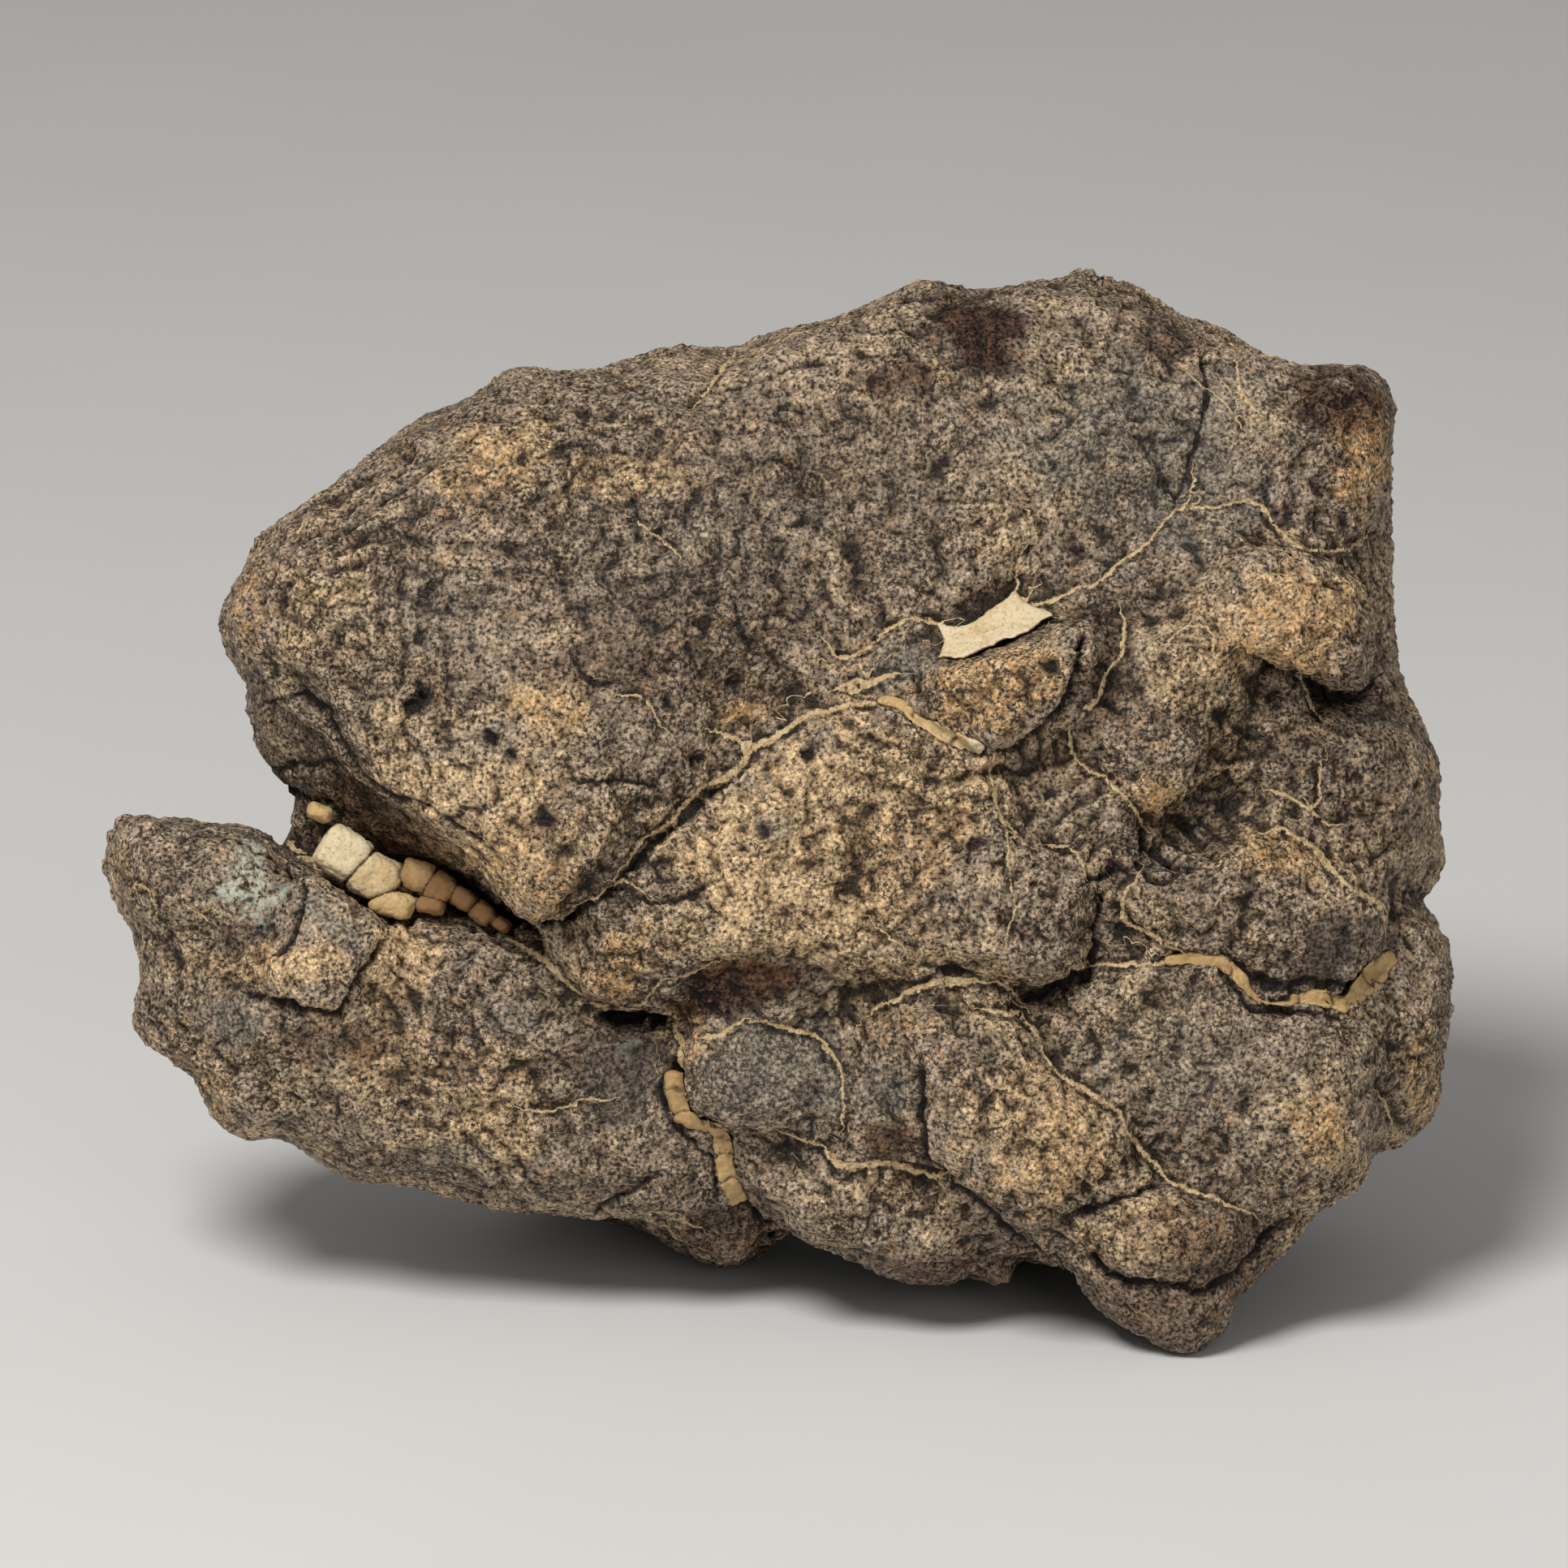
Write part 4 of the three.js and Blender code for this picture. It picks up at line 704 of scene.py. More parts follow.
def hollows(points, out, pairs, sizes):
    """How deep each point lies in the relief around it, from ridges below 0 to hollows above."""
    hollow_shade = np.zeros(len(points))
    for rounds, strength in sizes:
        hollow_shade += strength * ((smoothed(points, pairs, rounds) - points) / MM * out).sum(1)
    return hollow_shade


def loose_parts_dropped(obj):
    """obj with only the largest of its separate skins."""
    bpy.ops.object.select_all(action="DESELECT")
    bpy.context.view_layer.objects.active = obj
    obj.select_set(True)
    bpy.ops.mesh.separate(type="LOOSE")
    parts = sorted(bpy.context.selected_objects, key=lambda part: len(part.data.vertices))
    name = obj.name
    for part in parts[:-1]:
        bpy.data.objects.remove(part)
    parts[-1].name = name
    bpy.ops.object.select_all(action="DESELECT")
    return parts[-1]


def settled(obj, rounds, spread):
    """Smooths obj, and returns which way is out at its points, averaged over so many neighbours."""
    pairs = edges(obj)
    place(obj, smoothed(coordinates(obj), pairs, rounds))
    out = smoothed(normals(obj), pairs, spread)
    return out / np.linalg.norm(out, axis=1, keepdims=True)


def filling(x, z):
    """Half the width of the valleys that are filled at points of the face: none at the fracture."""
    lip = distances(x, z, FRACTURE_LIP, 9)[0]
    seam = distances(x, z, SEAMS["caliche_right_seam"], 9)[0]
    deep_cracks = [path for deep, path in CRACKS if deep >= OPEN_CREVICE]
    crevice = nearest_line(x, z, deep_cracks, 9)[0]
    wider = SEAM_FILLING * (1 - smoothstep(2, 8, np.abs(seam)))
    kept = smoothstep(2, 8, np.abs(lip)) * (0.3 + 0.7 * smoothstep(0.5, 4.5, np.abs(crevice)))
    return MOST_FILLING * kept + wider


def flattened(points, share):
    """Points in metres brought closer to one plane, as seen from in front, by their share."""
    x, z, depth = to_face(points)
    terms = np.stack([np.ones(len(x)), x, z], axis=1)
    chosen = share > 0.5
    plane = terms @ np.linalg.lstsq(terms[chosen], depth[chosen], rcond=None)[0]
    return from_face(x, z, depth + PATCH_FLATNESS * share * (plane - depth))


def skin_tree(obj):
    """obj's skin as it is now, for rays."""
    return BVHTree.FromPolygons(coordinates(obj), [p.vertices[:] for p in obj.data.polygons])


def make_stone():
    """The stone's skin, before it is carved. Also returns the solids' skin and this one for rays."""
    nodes = [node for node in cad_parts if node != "caliche_fracture_fill"]
    stone = loose_parts_dropped(copied(nodes, "stone_skin", VOXEL))
    first = skin_tree(stone)

    # Valleys between the forms are filled by a skin that swells and shrinks again.
    for way in (1, -1):
        out = settled(stone, 6, 4)
        points = coordinates(stone)
        x, z, depth = to_face(points)
        place(stone, points + way * MM * filling(x, z)[:, None] * out)
        stone = loose_parts_dropped(reskinned(stone, VOXEL))

    # What is left of them is worn soft, less so at the lips of the fracture.
    pairs = edges(stone)
    points = coordinates(stone)
    x, z, depth = to_face(points)
    lip = distances(x, z, FRACTURE_LIP, 4)[0]
    points = smoothed(points, pairs, 8, 0.35 + 0.65 * smoothstep(1, 3.5, np.abs(lip)))
    place(stone, points)
    out = settled(stone, 0, 6)
    under_patch = stains(x, z, [PATCH_PLACE], 0) * (depth < 0)
    relief = stone_relief(points / MM) * (1 - PATCH_SMOOTHNESS * under_patch)
    points += out * MM * relief[:, None]
    points = flattened(points, under_patch)
    x, z, depth = to_face(points)
    move_x, move_z = outline_shift(x, z, depth)
    points += MM * (move_x[:, None] * RIGHT + move_z[:, None] * UP)
    points[:, 2] = np.maximum(points[:, 2], 0)
    place(stone, points)
    return stone, first, skin_tree(stone)


def carve_stone(stone):
    """Cracks, veins, pits and beds for the caliche, cut into the stone's finished mesh, with the values
    that its material reads."""
    points = coordinates(stone)
    pairs = edges(stone)
    out = normals(stone)
    x, z, depth = to_face(points)
    flat = np.stack([x, z, depth], axis=1)
    front = smoothstep(0.02, 0.3, out @ TOWARD)
    ragged_x = layers(RAGGED_X, flat, x)
    ragged_z = layers(RAGGED_Z, flat, z)
    height = np.zeros(len(points))

    crack_paths = [path for _, path in CRACKS]
    crack_side, crack_half, which = nearest_line(ragged_x, ragged_z, crack_paths, LINE_MARGIN)
    crack_deep = np.array([deep for deep, _ in CRACKS] + [0])[which]
    crack_half = CRACK_SHARE * crack_half * front
    away = np.abs(crack_side)
    gash = (1 - smoothstep(0.4 * crack_half, 1.5 * crack_half + 0.25, away)) * (crack_half > 0)
    height -= crack_deep * gash

    vein_side, vein_half, _ = nearest_line(ragged_x, ragged_z, VEINS, LINE_MARGIN)
    vein_half = VEIN_SHARE * vein_half * front
    for side, half in wandering(points / MM):
        half = half * (1 - front)
        closer = (np.abs(side) - half < np.abs(vein_side) - vein_half) & (half > 0)
        vein_side = np.where(closer, side, vein_side)
        vein_half = np.where(closer, half, vein_half)
    away = np.abs(vein_side)
    groove = (1 - smoothstep(vein_half + 0.15, vein_half + 0.7, away)) * (vein_half > 0)
    ridge = (1 - smoothstep(0.3 * vein_half, vein_half + 0.15, away)) * (vein_half > 0)
    height += VEIN_RIDGE * ridge - VEIN_GROOVE * groove

    # Beds of the caliche that stands as bodies of its own.
    seam_side, seam_half, _ = nearest_line(x, z, list(SEAMS.values()), LINE_MARGIN)
    bed = 1 - smoothstep(seam_half - 0.5, seam_half - 0.05, np.abs(seam_side))
    bed *= (seam_half > 0) * front
    patch = smoothed(inside_outline(x, z, PATCH).astype(float), pairs, 1) * front
    height -= SEAM_BED * bed + PATCH_BED * patch

    pit = np.zeros(len(points))
    for cx, cz, radius, deep in PITS:
        gap = np.hypot(ragged_x - cx, ragged_z - cz) / radius
        dent = (1 - smoothstep(0.3, 1.15, gap)) * front
        height -= deep * dent
        pit = np.maximum(pit, dent)

    carved = points + out * MM * height[:, None]
    carved[:, 2] = np.maximum(carved[:, 2], 0)
    place(stone, carved)

    frayed = layers(FRAYED, flat)
    for name, (ellipses, seed, low, high) in ZONES.items():
        wide = layers([(seed, 17, 1), (seed + 1, 6, 0.5)], points / MM)
        on_face = stains(x, z, ellipses, frayed) * front
        store(stone, name, np.maximum(on_face, (1 - front) * smoothstep(low, high, wide)))
    store(stone, "bloom", stains(x, z, BLOOM, frayed) * front)
    # The relief's depth, which the material paints as shade in hollows and as light on ridges.
    store(stone, "hollow_shade", np.clip(hollows(carved, out, pairs, HOLLOWS), -1, 1))
    store(stone, "cloud", layers(CLOUDS, points / MM))
    store(stone, "hue", layers(HUES, points / MM))
    # Pits and the beds of the caliche, which the material paints black as their shade.
    store(stone, "pit", np.maximum(pit, np.maximum(bed, patch)))
    for name, side, half in (("vein", vein_side, vein_half), ("crack", crack_side, crack_half)):
        store(stone, name + "_side", side)
        store(stone, name + "_half", np.where(np.abs(side) < LINE_MARGIN - 0.2, half, 0))


def thinned(stone):
    """The stone with fewer triangles: most are kept on the face."""
    behind = 1 - smoothstep(-0.3, 0.2, normals(stone) @ TOWARD)
    group = stone.vertex_groups.new(name="behind")
    for level in range(THINNING_LEVELS + 1):
        weight = LEAST_THINNING + (1 - LEAST_THINNING) * level / THINNING_LEVELS
        chosen = np.flatnonzero(np.round(behind * THINNING_LEVELS) == level)
        group.add(chosen.tolist(), weight, "REPLACE")
    triangles = sum(len(p.vertices) - 2 for p in stone.data.polygons)
    return applied(
        stone, "DECIMATE", ratio=min(1, STONE_TRIANGLES / triangles),
        vertex_group="behind", vertex_group_factor=THINNING_FACTOR,
    )


# The caliche.

# Where the slabs of a seam have broken across: two ends of each break on the face.
BREAKS = [
    [(-10.6, 23.6), (-8, 23.4)], [(-10, 21.2), (-7.2, 21.8)], [(-7.2, 21.4), (-6.4, 19.4)],
    [(-6.4, 19.4), (-3.8, 19)], [(-6.2, 17.6), (-3.8, 17.9)], [(-5.8, 15.4), (-3, 15.6)],
    [(39.4, 35.6), (39.8, 33)], [(42.6, 32), (42.4, 30.4)], [(45.4, 32.4), (45.6, 30.6)],
    [(48.6, 32.6), (48.4, 30.2)], [(51, 34), (52.6, 32.2)], [(12.2, 57.4), (11.2, 55.4)],
    [(15.6, 55.4), (14.8, 53.2)],
]
# How far in front of a point of a seam its ray starts, in metres, how many points share a ray, and
# how far back and forward a seam is moved at most.
RAY_START = 0.2
CALICHE_SAMPLING = 5
SEAM_MOVES = (-4 * MM, 6 * MM)
# The seed, period and height of each layer of the caliche's lumps, and the top and middle of a lump.
CALICHE_LUMPS = [(101, 2.2, 0.34), (102, 1.1, 0.24), (103, 0.5, 0.12)]
CALICHE_TOP = 0.5
CALICHE_MIDDLE = 0.25
# How deep a break or the joint of two blocks is, how strong a break is beside a joint, how dark both
# are painted as shade, and how strongly the hollows between lumps are painted dark as shade.
JOINT_DEPTH = 0.25
BREAK_STRENGTH = 0.6
JOINT_SHADE = 0.55
CALICHE_HOLLOWS = [(8, 3)]

# The colour of each seam, from cream at 0 to brown at 1, at two places along x and between.
WARMTH = {
    "caliche_lower_seam": ((-10, 0.72), (-3, 0.6)),
    "caliche_right_seam": ((33, 0.7), (54, 0.5)),
    "caliche_centre_seam": ((8, 0.55), (18, 0.1)),
}

# The patch: the grid that it is laid with, where its sight lines start and end, how often its depth is
# evened out, how far it stands out of the stone and goes into it, all in millimetres, its colour, and
# its lumps beside those of a seam.
PATCH_STEP = 0.16
PATCH_SIGHT = (-60, 60)
PATCH_ROUNDS = 40
PATCH_PROUD = 0.3
PATCH_THICKNESS = 1
PATCH_WARMTH = 0.12
PATCH_LUMPS = 0.5

# Blocks that fill the fracture: middle (x, z), half length and height, turn in degrees, and warmth,
# which is their colour and also painted shade on the browner blocks further into the fracture.
# Then their middle's depth, half thickness, and how square they are: a ball would be 2.
FRACTURE_BLOCKS = [
    (-38.4, 44.2, 2.3, 2.1, -34, 0), (-35.7, 42.2, 2.3, 2, -26, 0.22), (-34.2, 39.9, 2, 1.2, -16, 0.34),
    (-32, 42.3, 1.6, 1.3, -18, 0.8), (-30.1, 41.2, 1.3, 1.4, -26, 1), (-28, 40.3, 1.1, 0.9, -34, 1.1),
    (-26.2, 39, 1, 0.9, -36, 1.3), (-24.6, 38, 0.8, 0.6, -36, 1.4), (-40.5, 47.9, 1.1, 0.7, -20, 0.5),
    (-30.8, 39.8, 1.3, 0.8, -12, 1.3),
]
BLOCK_DEPTH = -7
BLOCK_HALF_THICKNESS = 2.7
BLOCK_SQUARENESS = 5


def advance(points, first, last):
    """How far, in metres, the stone's last skin lies in front of the solids' skin at some points."""
    toward = Vector(TOWARD)
    gained = np.zeros(len(points))
    for number, point in enumerate(points):
        start = Vector(point) + toward * RAY_START
        hits = [skin.ray_cast(start, -toward)[3] for skin in (first, last)]
        if None not in hits:
            gained[number] = hits[0] - hits[1]
    return gained


def make_seam(node, first, last):
    """A seam of caliche, which goes with the stone's skin where that was moved."""
    piece = copied([node], node + "_crust", CALICHE_VOXEL)
    pairs = edges(piece)
    points = smoothed(coordinates(piece), pairs, 8)
    sample = advance(points[::CALICHE_SAMPLING], first, last)
    gained = np.repeat(np.clip(sample, *SEAM_MOVES), CALICHE_SAMPLING)[:len(points)]
    gained = smoothed(gained, pairs, 80)
    place(piece, points + gained[:, None] * TOWARD)
    x = to_face(coordinates(piece))[0]
    (first_x, first_warmth), (last_x, last_warmth) = WARMTH[node]
    share = np.clip((x - first_x) / (last_x - first_x), 0, 1)
    finish_caliche(piece, first_warmth + (last_warmth - first_warmth) * share, 0, 1)
    return piece


def make_patch(skin):
    """The flat patch: a thin crust laid on the stone's skin, as far as its outline goes."""
    low, high = np.min(PATCH, axis=0) - 1, np.max(PATCH, axis=0) + 1
    across = np.arange(low[0], high[0], PATCH_STEP)
    up = np.arange(low[1], high[1], PATCH_STEP)
    x, z = (grid.ravel() for grid in np.meshgrid(across, up))
    flat = np.stack([x, z, 0 * x], axis=1)
    frayed_x = layers([(121, 1.3, 0.3)], flat, x)
    frayed_z = layers([(122, 1.3, 0.3)], flat, z)
    within = inside_outline(frayed_x, frayed_z, PATCH)
    depth = np.zeros(len(x))
    starts, ends = (from_face(x, z, end + depth) for end in PATCH_SIGHT)
    for number in range(len(x)):
        sight = Vector(ends[number] - starts[number]).normalized()
        hit = skin.ray_cast(Vector(starts[number]), sight)[0]
        depth[number] = to_face(np.array([hit]))[2][0]
    wide = len(across)
    first = np.array([row * wide + column for row in range(len(up) - 1) for column in range(wide - 1)])
    cells = np.stack([first, first + 1, first + wide + 1, first + wide], axis=1)
    pairs = np.concatenate([cells[:, :2], cells[:, 1:3]])
    depth = smoothed(depth, pairs, PATCH_ROUNDS)
    cells = cells[within[cells].all(1)]
    points = np.concatenate([from_face(x, z, depth + move) for move in (-PATCH_PROUD, PATCH_THICKNESS)])
    # The rim: the sides of cells that no other cell shares.
    sides = {}
    for cell in cells.tolist():
        for a, b in zip(cell, cell[1:] + cell[:1]):
            if sides.pop((b, a), None) is None:
                sides[a, b] = True
    behind = len(x)
    faces = cells.tolist() + (cells[:, ::-1] + behind).tolist()
    faces += [[b, a, a + behind, b + behind] for a, b in sides]
    piece = reskinned(new_object("caliche_patch_crust", points.tolist(), faces), CALICHE_VOXEL)
    place(piece, smoothed(coordinates(piece), edges(piece), 4))
    finish_caliche(piece, PATCH_WARMTH, 0, PATCH_LUMPS)
    return piece


def make_fracture_fill():
    """The blocks of the fracture, squarish and side by side in one skin."""
    ball = bmesh.new()
    bmesh.ops.create_icosphere(ball, subdivisions=5, radius=1)
    unit = np.array([v.co[:] for v in ball.verts])
    triangles = np.array([[v.index for v in f.verts] for f in ball.faces])
    ball.free()
    unit /= (np.abs(unit) ** BLOCK_SQUARENESS).sum(1, keepdims=True) ** (1 / BLOCK_SQUARENESS)
    points, faces = [], []
    for number, (x, z, length, height, degrees, _) in enumerate(FRACTURE_BLOCKS):
        turn = math.radians(degrees)
        along, across = unit[:, 0] * length, unit[:, 2] * height
        points.append(from_face(
            x + along * math.cos(turn) - across * math.sin(turn),
            z + along * math.sin(turn) + across * math.cos(turn),
            BLOCK_DEPTH + unit[:, 1] * BLOCK_HALF_THICKNESS,
        ))
        faces += (triangles + number * len(unit)).tolist()
    points = np.concatenate(points).tolist()
    piece = reskinned(new_object("caliche_fracture_fill_crust", points, faces), CALICHE_VOXEL)
    place(piece, smoothed(coordinates(piece), edges(piece), 2))
    x, z, _ = to_face(coordinates(piece))
    # Each point takes the colour of the block whose middle is nearest, with narrow blends between.
    gaps = np.stack([np.hypot((x - b[0]) / b[2], (z - b[1]) / b[3]) for b in FRACTURE_BLOCKS])
    weight = np.exp(-16 * gaps)
    warmth = (weight * np.array([b[5] for b in FRACTURE_BLOCKS])[:, None]).sum(0) / weight.sum(0)
    first, second = np.sort(gaps, axis=0)[:2]
    finish_caliche(piece, warmth, 1 - smoothstep(0.02, 0.16, second - first), 1)
    return piece


def finish_caliche(piece, warmth, joint, lumpiness):
    """Gives a body of caliche its lumps, its breaks and the values that its material reads. joint is 1
    where two blocks meet."""
    pairs = edges(piece)
    points = coordinates(piece)
    out = normals(piece)
    height = 0
    for seed, period, size in CALICHE_LUMPS:
        lump = np.minimum(np.abs(Noise(seed)(points / MM, period)), CALICHE_TOP)
        height = height + size * (lump - CALICHE_MIDDLE)
    x, z, depth = to_face(points)
    flat = np.stack([x, z, depth], axis=1)
    frayed_x = layers([(111, 1.2, 0.4)], flat, x)
    frayed_z = layers([(112, 1.2, 0.4)], flat, z)
    breaks = [[(*first, 0), (*last, 0)] for first, last in BREAKS]
    gap = np.abs(nearest_line(frayed_x, frayed_z, breaks, 1)[0])
    broken = np.maximum(BREAK_STRENGTH * (1 - smoothstep(0.05, 0.25, gap)), joint)
    points += out * MM * (lumpiness * height - JOINT_DEPTH * broken)[:, None]
    place(piece, points)
    store(piece, "warmth", layers([(113, 2.4, 0.16)], flat, warmth))
    # Shade painted in the hollows between lumps and in the breaks and joints.
    hollow_shade = hollows(points, out, pairs, CALICHE_HOLLOWS)
    store(piece, "hollow_shade", np.clip(hollow_shade + JOINT_SHADE * broken, -1, 1))


# Materials.

class Tree:
    """A material's nodes, with short ways of adding them."""

    def __init__(self, name):
        self.material = bpy.data.materials.new(name)
        self.material.use_nodes = True
        self.nodes = self.material.node_tree.nodes
        self.links = self.material.node_tree.links
        self.shader = self.nodes["Principled BSDF"]

    def add(self, kind, inputs, output=0, **settings):
        node = self.nodes.new("ShaderNode" + kind)
        for name, value in settings.items():
            setattr(node, name, value)
        for socket, value in inputs.items():
            self.put(node.inputs[socket], value)
        return node.outputs[output]

    def put(self, socket, value):
        if isinstance(value, bpy.types.NodeSocket):
            self.links.new(value, socket)
        else:
            socket.default_value = value

    def attribute(self, name):
        return self.add("Attribute", {}, "Fac", attribute_name=name)

    def place(self):
        return self.add("TexCoord", {}, "Object")

    def noise(self, period, detail, rough, shift=0):
        """Noise from 0 to 1, its lumps about one period across, in millimetres."""
        where = self.place()
        if shift:
            where = self.add("VectorMath", {0: where, 1: (shift, shift, shift)}, operation="ADD")
        return self.add("TexNoise", {
            "Vector": where, "Scale": 1 / (period * MM), "Detail": detail, "Roughness": rough,
        }, "Fac")

    def centred(self, period, detail, rough, shift=0):
        """The same noise, from -0.5 to 0.5."""
        return self.math("SUBTRACT", self.noise(period, detail, rough, shift), 0.5)

    def math(self, operation, first, second=0.0):
        return self.add("Math", {0: first, 1: second}, operation=operation)

    def plus(self, first, second):
        return self.math("ADD", first, second)

    def times(self, first, second):
        return self.math("MULTIPLY", first, second)

    def rise(self, value, low, high, bottom=0.0, top=1.0):
        """Value taken from low and high to bottom and top, smoothly, and kept between them."""
        return self.add("MapRange", {
            "Value": value, "From Min": low, "From Max": high, "To Min": bottom, "To Max": top,
        }, interpolation_type="SMOOTHSTEP")

    def mix(self, share, first, second, way="MIX"):
        inputs = {0: share, 6: rgba(first), 7: rgba(second)}
        return self.add("Mix", inputs, 2, data_type="RGBA", blend_type=way)

    def line(self, name, soft, ragged):
        """1 within a crack or vein whose side and half width are stored, falling to 0 over soft
        millimetres. ragged, in millimetres, moves its edges."""
        away = self.math("ABSOLUTE", self.plus(self.attribute(name + "_side"), ragged))
        inside = self.math("SUBTRACT", self.attribute(name + "_half"), away)
        there = self.math("GREATER_THAN", self.attribute(name + "_half"), LEAST_HALF)
        return self.times(self.rise(inside, -soft, soft * 0.4), there)

    def bump(self, height, millimetres):
        return self.add("Bump", {"Height": height, "Distance": millimetres * MM, "Strength": 1.0})

    def finished(self, sockets):
        """The material, with these values on its shader's sockets."""
        for name, value in sockets.items():
            self.put(self.shader.inputs[name], value)
        return self.material


def rgba(value):
    return (*value, 1) if isinstance(value, tuple) and len(value) == 3 else value


# The least half width of a line that is drawn, in millimetres.
LEAST_HALF = 0.03

# Colours of the stone: the black painted as shade in cracks, pits and hollows, its grains in each
# zone, the ground between them, its stains, the tint of dark stains and painted shade, and its veins.
CRACK_BLACK = (0.010, 0.008, 0.007)
GROUND = (0.030, 0.022, 0.016)
DARK_GRAIN = (0.085, 0.064, 0.044)
GREY_GRAIN = (0.350, 0.284, 0.228)
TAN_GRAIN = (0.610, 0.430, 0.240)
ORANGE_GRAIN = (0.510, 0.285, 0.110)
STAIN_AND_SHADE_TINT = (0.270, 0.195, 0.185)
COOL_GROUND = (0.070, 0.062, 0.051)
SLATE = (0.370, 0.335, 0.270)
PALE_BLOOM = (0.540, 0.560, 0.450)
VEIN_TAN = (0.520, 0.350, 0.170)
VEIN_CREAM = (0.680, 0.530, 0.310)

# Period in millimetres, detail, roughness and, in metres, shift of the noises in the stone.
GRAIN_NOISE = (0.34, 2, 0.55)
CLUMP_NOISE = (0.8, 2, 0.6, 0.013)
WINDING_NOISE = (1.3, 2, 0.6, 0.051)
EDGE_NOISE = (0.5, 2, 0.65, 0.037)
BUMP_NOISE = (0.5, 2, 0.5)

# How much grains, clumps, clouds and tan zones count in what is dark and what is pale.
GRAIN_STRENGTH = 3.9
CLUMP_STRENGTH = 1.3
CLOUD_STRENGTH = 0.15
TAN_STRENGTH = 0.2

# The darkest and lightest factor on red, green and blue, from painted shade in the hollows to
# painted light on the ridges, and from darker to paler clouds.
SHADES = ((0.47, 1.64), (0.43, 1.64), (0.39, 1.64))

# How strongly fine cracks, cool zones, the black painted as shade in the deepest hollows, in pits
# and in cracks, and the dark lines painted as shade in the grooves along veins cover the stone.
NET_COVER = 0.85
COOL_COVER = 0.7
HOLLOW_COVER = 0.8
PIT_COVER = 0.85
CRACK_COVER = 0.85
GROOVE_COVER = 0.55

# The caliche: its colours from pale to deep, its specks, the shade painted in its hollows and
# breaks, and the noises of its colour, specks and bumps, in the terms of the stone's.
CREAM = (0.74, 0.61, 0.39)
OCHRE = (0.57, 0.385, 0.165)
BROWN = (0.30, 0.155, 0.058)
SPECK = (0.23, 0.15, 0.08)
CALICHE_SHADE = (0.07, 0.042, 0.022)
CALICHE_NOISE = (1.2, 3, 0.6)
SPECK_NOISE = (0.3, 3, 0.7, 0.021)
CALICHE_BUMP_NOISE = (0.4, 2, 0.65)

# The floor's two greys and the noise between them.
FLOOR_DARK = (0.72, 0.72, 0.71)
FLOOR_LIGHT = (0.77, 0.77, 0.76)
FLOOR_NOISE = (60, 3, 0.5)


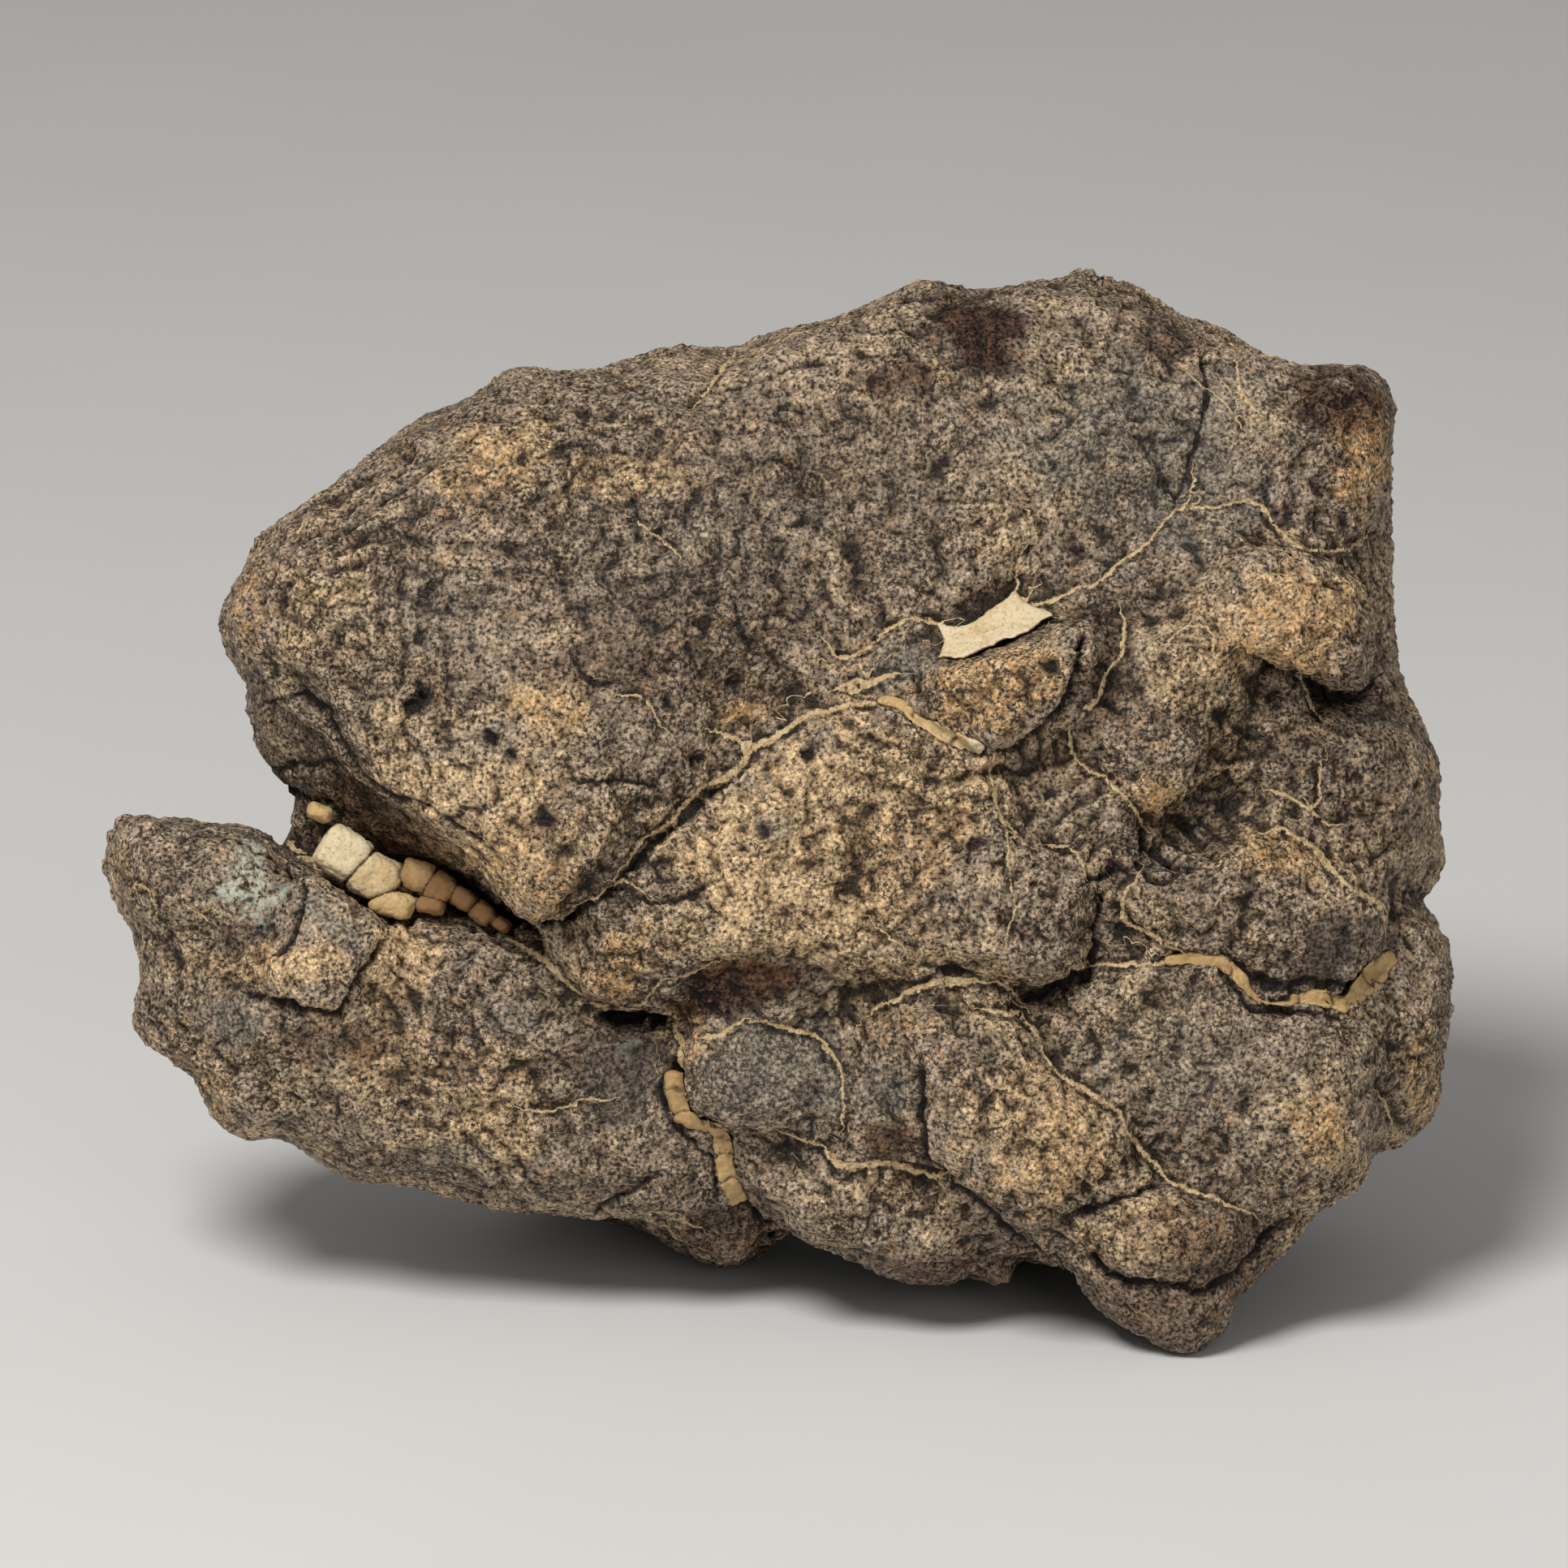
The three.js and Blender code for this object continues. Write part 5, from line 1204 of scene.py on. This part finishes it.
def stone_material():
    tree = Tree("weathered_stone")
    tan, rust, dark = tree.attribute("tan"), tree.attribute("rust"), tree.attribute("dark")
    hollow_shade, cloud = tree.attribute("hollow_shade"), tree.attribute("cloud")

    # Grains of a fraction of a millimetre, from dark to pale.
    clump = tree.centred(*CLUMP_NOISE)
    level = tree.plus(tree.times(tree.centred(*GRAIN_NOISE), GRAIN_STRENGTH), tree.times(clump, CLUMP_STRENGTH))
    level = tree.plus(level, tree.times(cloud, CLOUD_STRENGTH))
    level = tree.plus(level, tree.times(tan, TAN_STRENGTH))
    hue = tree.attribute("hue")
    warm = tree.math("SUBTRACT", tan, tree.times(hue, 0.6))
    pale = tree.mix(tree.rise(warm, -0.4, 0.8, 0.1, 1), GREY_GRAIN, TAN_GRAIN)
    rusty = tree.math("MAXIMUM", rust, tree.rise(tree.plus(hue, clump), 0.25, 0.9, 0, 0.6))
    pale = tree.mix(tree.times(rusty, tree.rise(clump, -0.12, 0.1)), pale, ORANGE_GRAIN)
    middle = tree.mix(0.36, DARK_GRAIN, pale)
    colour = tree.mix(tree.rise(level, -0.6, 0.1), GROUND, middle)
    colour = tree.mix(tree.rise(level, -0.06, 0.95), colour, pale)

    # Paler and darker clouds, painted shade in the relief's hollows and painted light on its ridges.
    shade = tree.math("SUBTRACT", tree.times(cloud, 0.5), hollow_shade)
    shades = [tree.rise(shade, -1, 1, low, high) for low, high in SHADES]
    colour = tree.mix(1.0, colour, tree.add("CombineColor", dict(enumerate(shades))), "MULTIPLY")

    # Fine dark cracks that wind between the grains, most in the darker clouds.
    wind = tree.math("ABSOLUTE", tree.centred(*WINDING_NOISE))
    net = tree.times(tree.rise(wind, 0.028, 0.006), tree.rise(cloud, 0.35, -0.15))
    colour = tree.mix(tree.times(net, NET_COVER), colour, GROUND)

    # Stains, some of them painted shade; bloom; pits painted black as their shade; and black painted
    # as shade at the bottom of the deepest hollows.
    cool = tree.times(tree.attribute("cool"), COOL_COVER)
    colour = tree.mix(cool, colour, tree.mix(tree.rise(level, -0.6, 1), COOL_GROUND, SLATE))
    # Dark stains, and the shade painted under ledges and on faces turned down, darken the colour.
    colour = tree.mix(dark, colour, STAIN_AND_SHADE_TINT, "MULTIPLY")
    colour = tree.mix(tree.rise(hollow_shade, 0.4, 1, 0, HOLLOW_COVER), colour, CRACK_BLACK)
    bloom = tree.times(tree.attribute("bloom"), tree.rise(clump, -0.1, 0.06))
    colour = tree.mix(bloom, colour, PALE_BLOOM)
    colour = tree.mix(tree.times(tree.attribute("pit"), PIT_COVER), colour, CRACK_BLACK)

    # Cracks painted black as shade, and veins with a dark line of painted shade along each side, in
    # the grooves beside them.
    ragged = tree.times(tree.centred(*EDGE_NOISE), 0.7)
    colour = tree.mix(tree.times(tree.line("crack", 0.25, ragged), CRACK_COVER), colour, CRACK_BLACK)
    colour = tree.mix(tree.times(tree.line("vein", 0.42, ragged), GROOVE_COVER), colour, GROUND)
    caliche = tree.mix(tree.rise(ragged, -0.1, 0.12), VEIN_TAN, VEIN_CREAM)
    vein = tree.times(tree.line("vein", 0.1, ragged), tree.rise(clump, -0.2, -0.1))
    colour = tree.mix(vein, colour, caliche)

    return tree.finished({
        "Base Color": colour,
        "Roughness": tree.rise(level, 0.1, 1, 0.5, 0.85),
        "Specular IOR Level": 0.15,
        "Normal": tree.bump(tree.noise(*BUMP_NOISE), 0.5),
    })


def caliche_material():
    tree = Tree("caliche_crust")
    warmth = tree.plus(tree.attribute("warmth"), tree.times(tree.centred(*CALICHE_NOISE), 0.5))
    colour = tree.mix(tree.rise(warmth, 0.02, 0.4), CREAM, OCHRE)
    colour = tree.mix(tree.rise(warmth, 0.45, 1), colour, BROWN)
    specks = tree.rise(tree.noise(*SPECK_NOISE), 0.5, 0.7)
    colour = tree.mix(tree.times(specks, 0.6), colour, SPECK)
    colour = tree.mix(tree.rise(tree.attribute("hollow_shade"), 0.1, 0.8, 0, 0.85), colour, CALICHE_SHADE)
    return tree.finished({
        "Base Color": colour,
        "Roughness": tree.rise(warmth, 0, 1, 0.65, 0.85),
        "Normal": tree.bump(tree.noise(*CALICHE_BUMP_NOISE), 0.1),
    })


def floor_material():
    tree = Tree("pale_floor")
    blotches = tree.mix(tree.noise(*FLOOR_NOISE), FLOOR_DARK, FLOOR_LIGHT)
    return tree.finished({"Base Color": blotches, "Roughness": 0.6})


def dress(obj, material, slot, *nodes):
    obj.data.materials.clear()
    obj.data.materials.append(material)
    obj.data.polygons.foreach_set("use_smooth", np.ones(len(obj.data.polygons), bool))
    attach(obj, "root")
    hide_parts(*nodes)


# Stage.

FLOOR_HALF = 2
CAMERA_AIM = Vector((0.3266, -2.2609, 43.3118)) * MM
CAMERA_DISTANCE = EYE_DISTANCE * MM
CAMERA_LENS = 234.8
CAMERA_SENSOR = 36
CAMERA_CLIP = (0.01, 20)

# Place, size, power and colour of each light, what the lights aim at, and the light from all around.
LIGHTS = {
    "key": ((-0.32, -0.5, 0.88), 0.42, 9, (1, 0.98, 0.95)),
    "front": ((0.5, -1.1, 0.5), 0.7, 1.8, (1, 0.98, 0.96)),
}
LIGHT_AIM = (0, 0, 0.045)
WORLD_COLOUR = (1, 0.98, 0.95, 1)
WORLD_STRENGTH = 0.24


def aimed(obj, place, target):
    obj.location = place
    obj.rotation_euler = (Vector(target) - Vector(place)).to_track_quat("-Z", "Y").to_euler()
    bpy.context.scene.collection.objects.link(obj)
    return obj


def make_camera():
    data = bpy.data.cameras.new("camera")
    data.lens = CAMERA_LENS
    data.sensor_width = CAMERA_SENSOR
    data.clip_start, data.clip_end = CAMERA_CLIP
    place = CAMERA_AIM + Vector(TOWARD) * CAMERA_DISTANCE
    bpy.context.scene.camera = aimed(bpy.data.objects.new("camera", data), place, CAMERA_AIM)


def make_light(name, place, size, power, colour):
    data = bpy.data.lights.new(name, "AREA")
    data.shape = "DISK"
    data.size = size
    data.energy = power
    data.color = colour
    aimed(bpy.data.objects.new(name, data), place, LIGHT_AIM)


def make_stage():
    corners = [(x * FLOOR_HALF, y * FLOOR_HALF, 0) for x, y in ((-1, -1), (1, -1), (1, 1), (-1, 1))]
    floor = new_object("floor", corners, [(0, 1, 2, 3)])
    floor.data.materials.append(floor_material())
    world = bpy.data.worlds.new("studio")
    world.use_nodes = True
    background = world.node_tree.nodes["Background"].inputs
    background["Color"].default_value = WORLD_COLOUR
    background["Strength"].default_value = WORLD_STRENGTH
    bpy.context.scene.world = world
    for name, settings in LIGHTS.items():
        make_light(name, *settings)
    bpy.context.scene.view_settings.view_transform = "Standard"
    bpy.context.scene.cycles.max_bounces = 2
    bpy.context.scene.cycles.diffuse_bounces = 1


make_camera()
make_stage()
stone, first_skin, last_skin = make_stone()
stone = thinned(stone)
carve_stone(stone)
dress(stone, stone_material(), "stone", "stone")
crust = caliche_material()
for node in sorted(WARMTH):
    dress(make_seam(node, first_skin, last_skin), crust, "caliche", node)
dress(make_patch(last_skin), crust, "caliche", "caliche_patch")
dress(make_fracture_fill(), crust, "caliche", "caliche_fracture_fill")
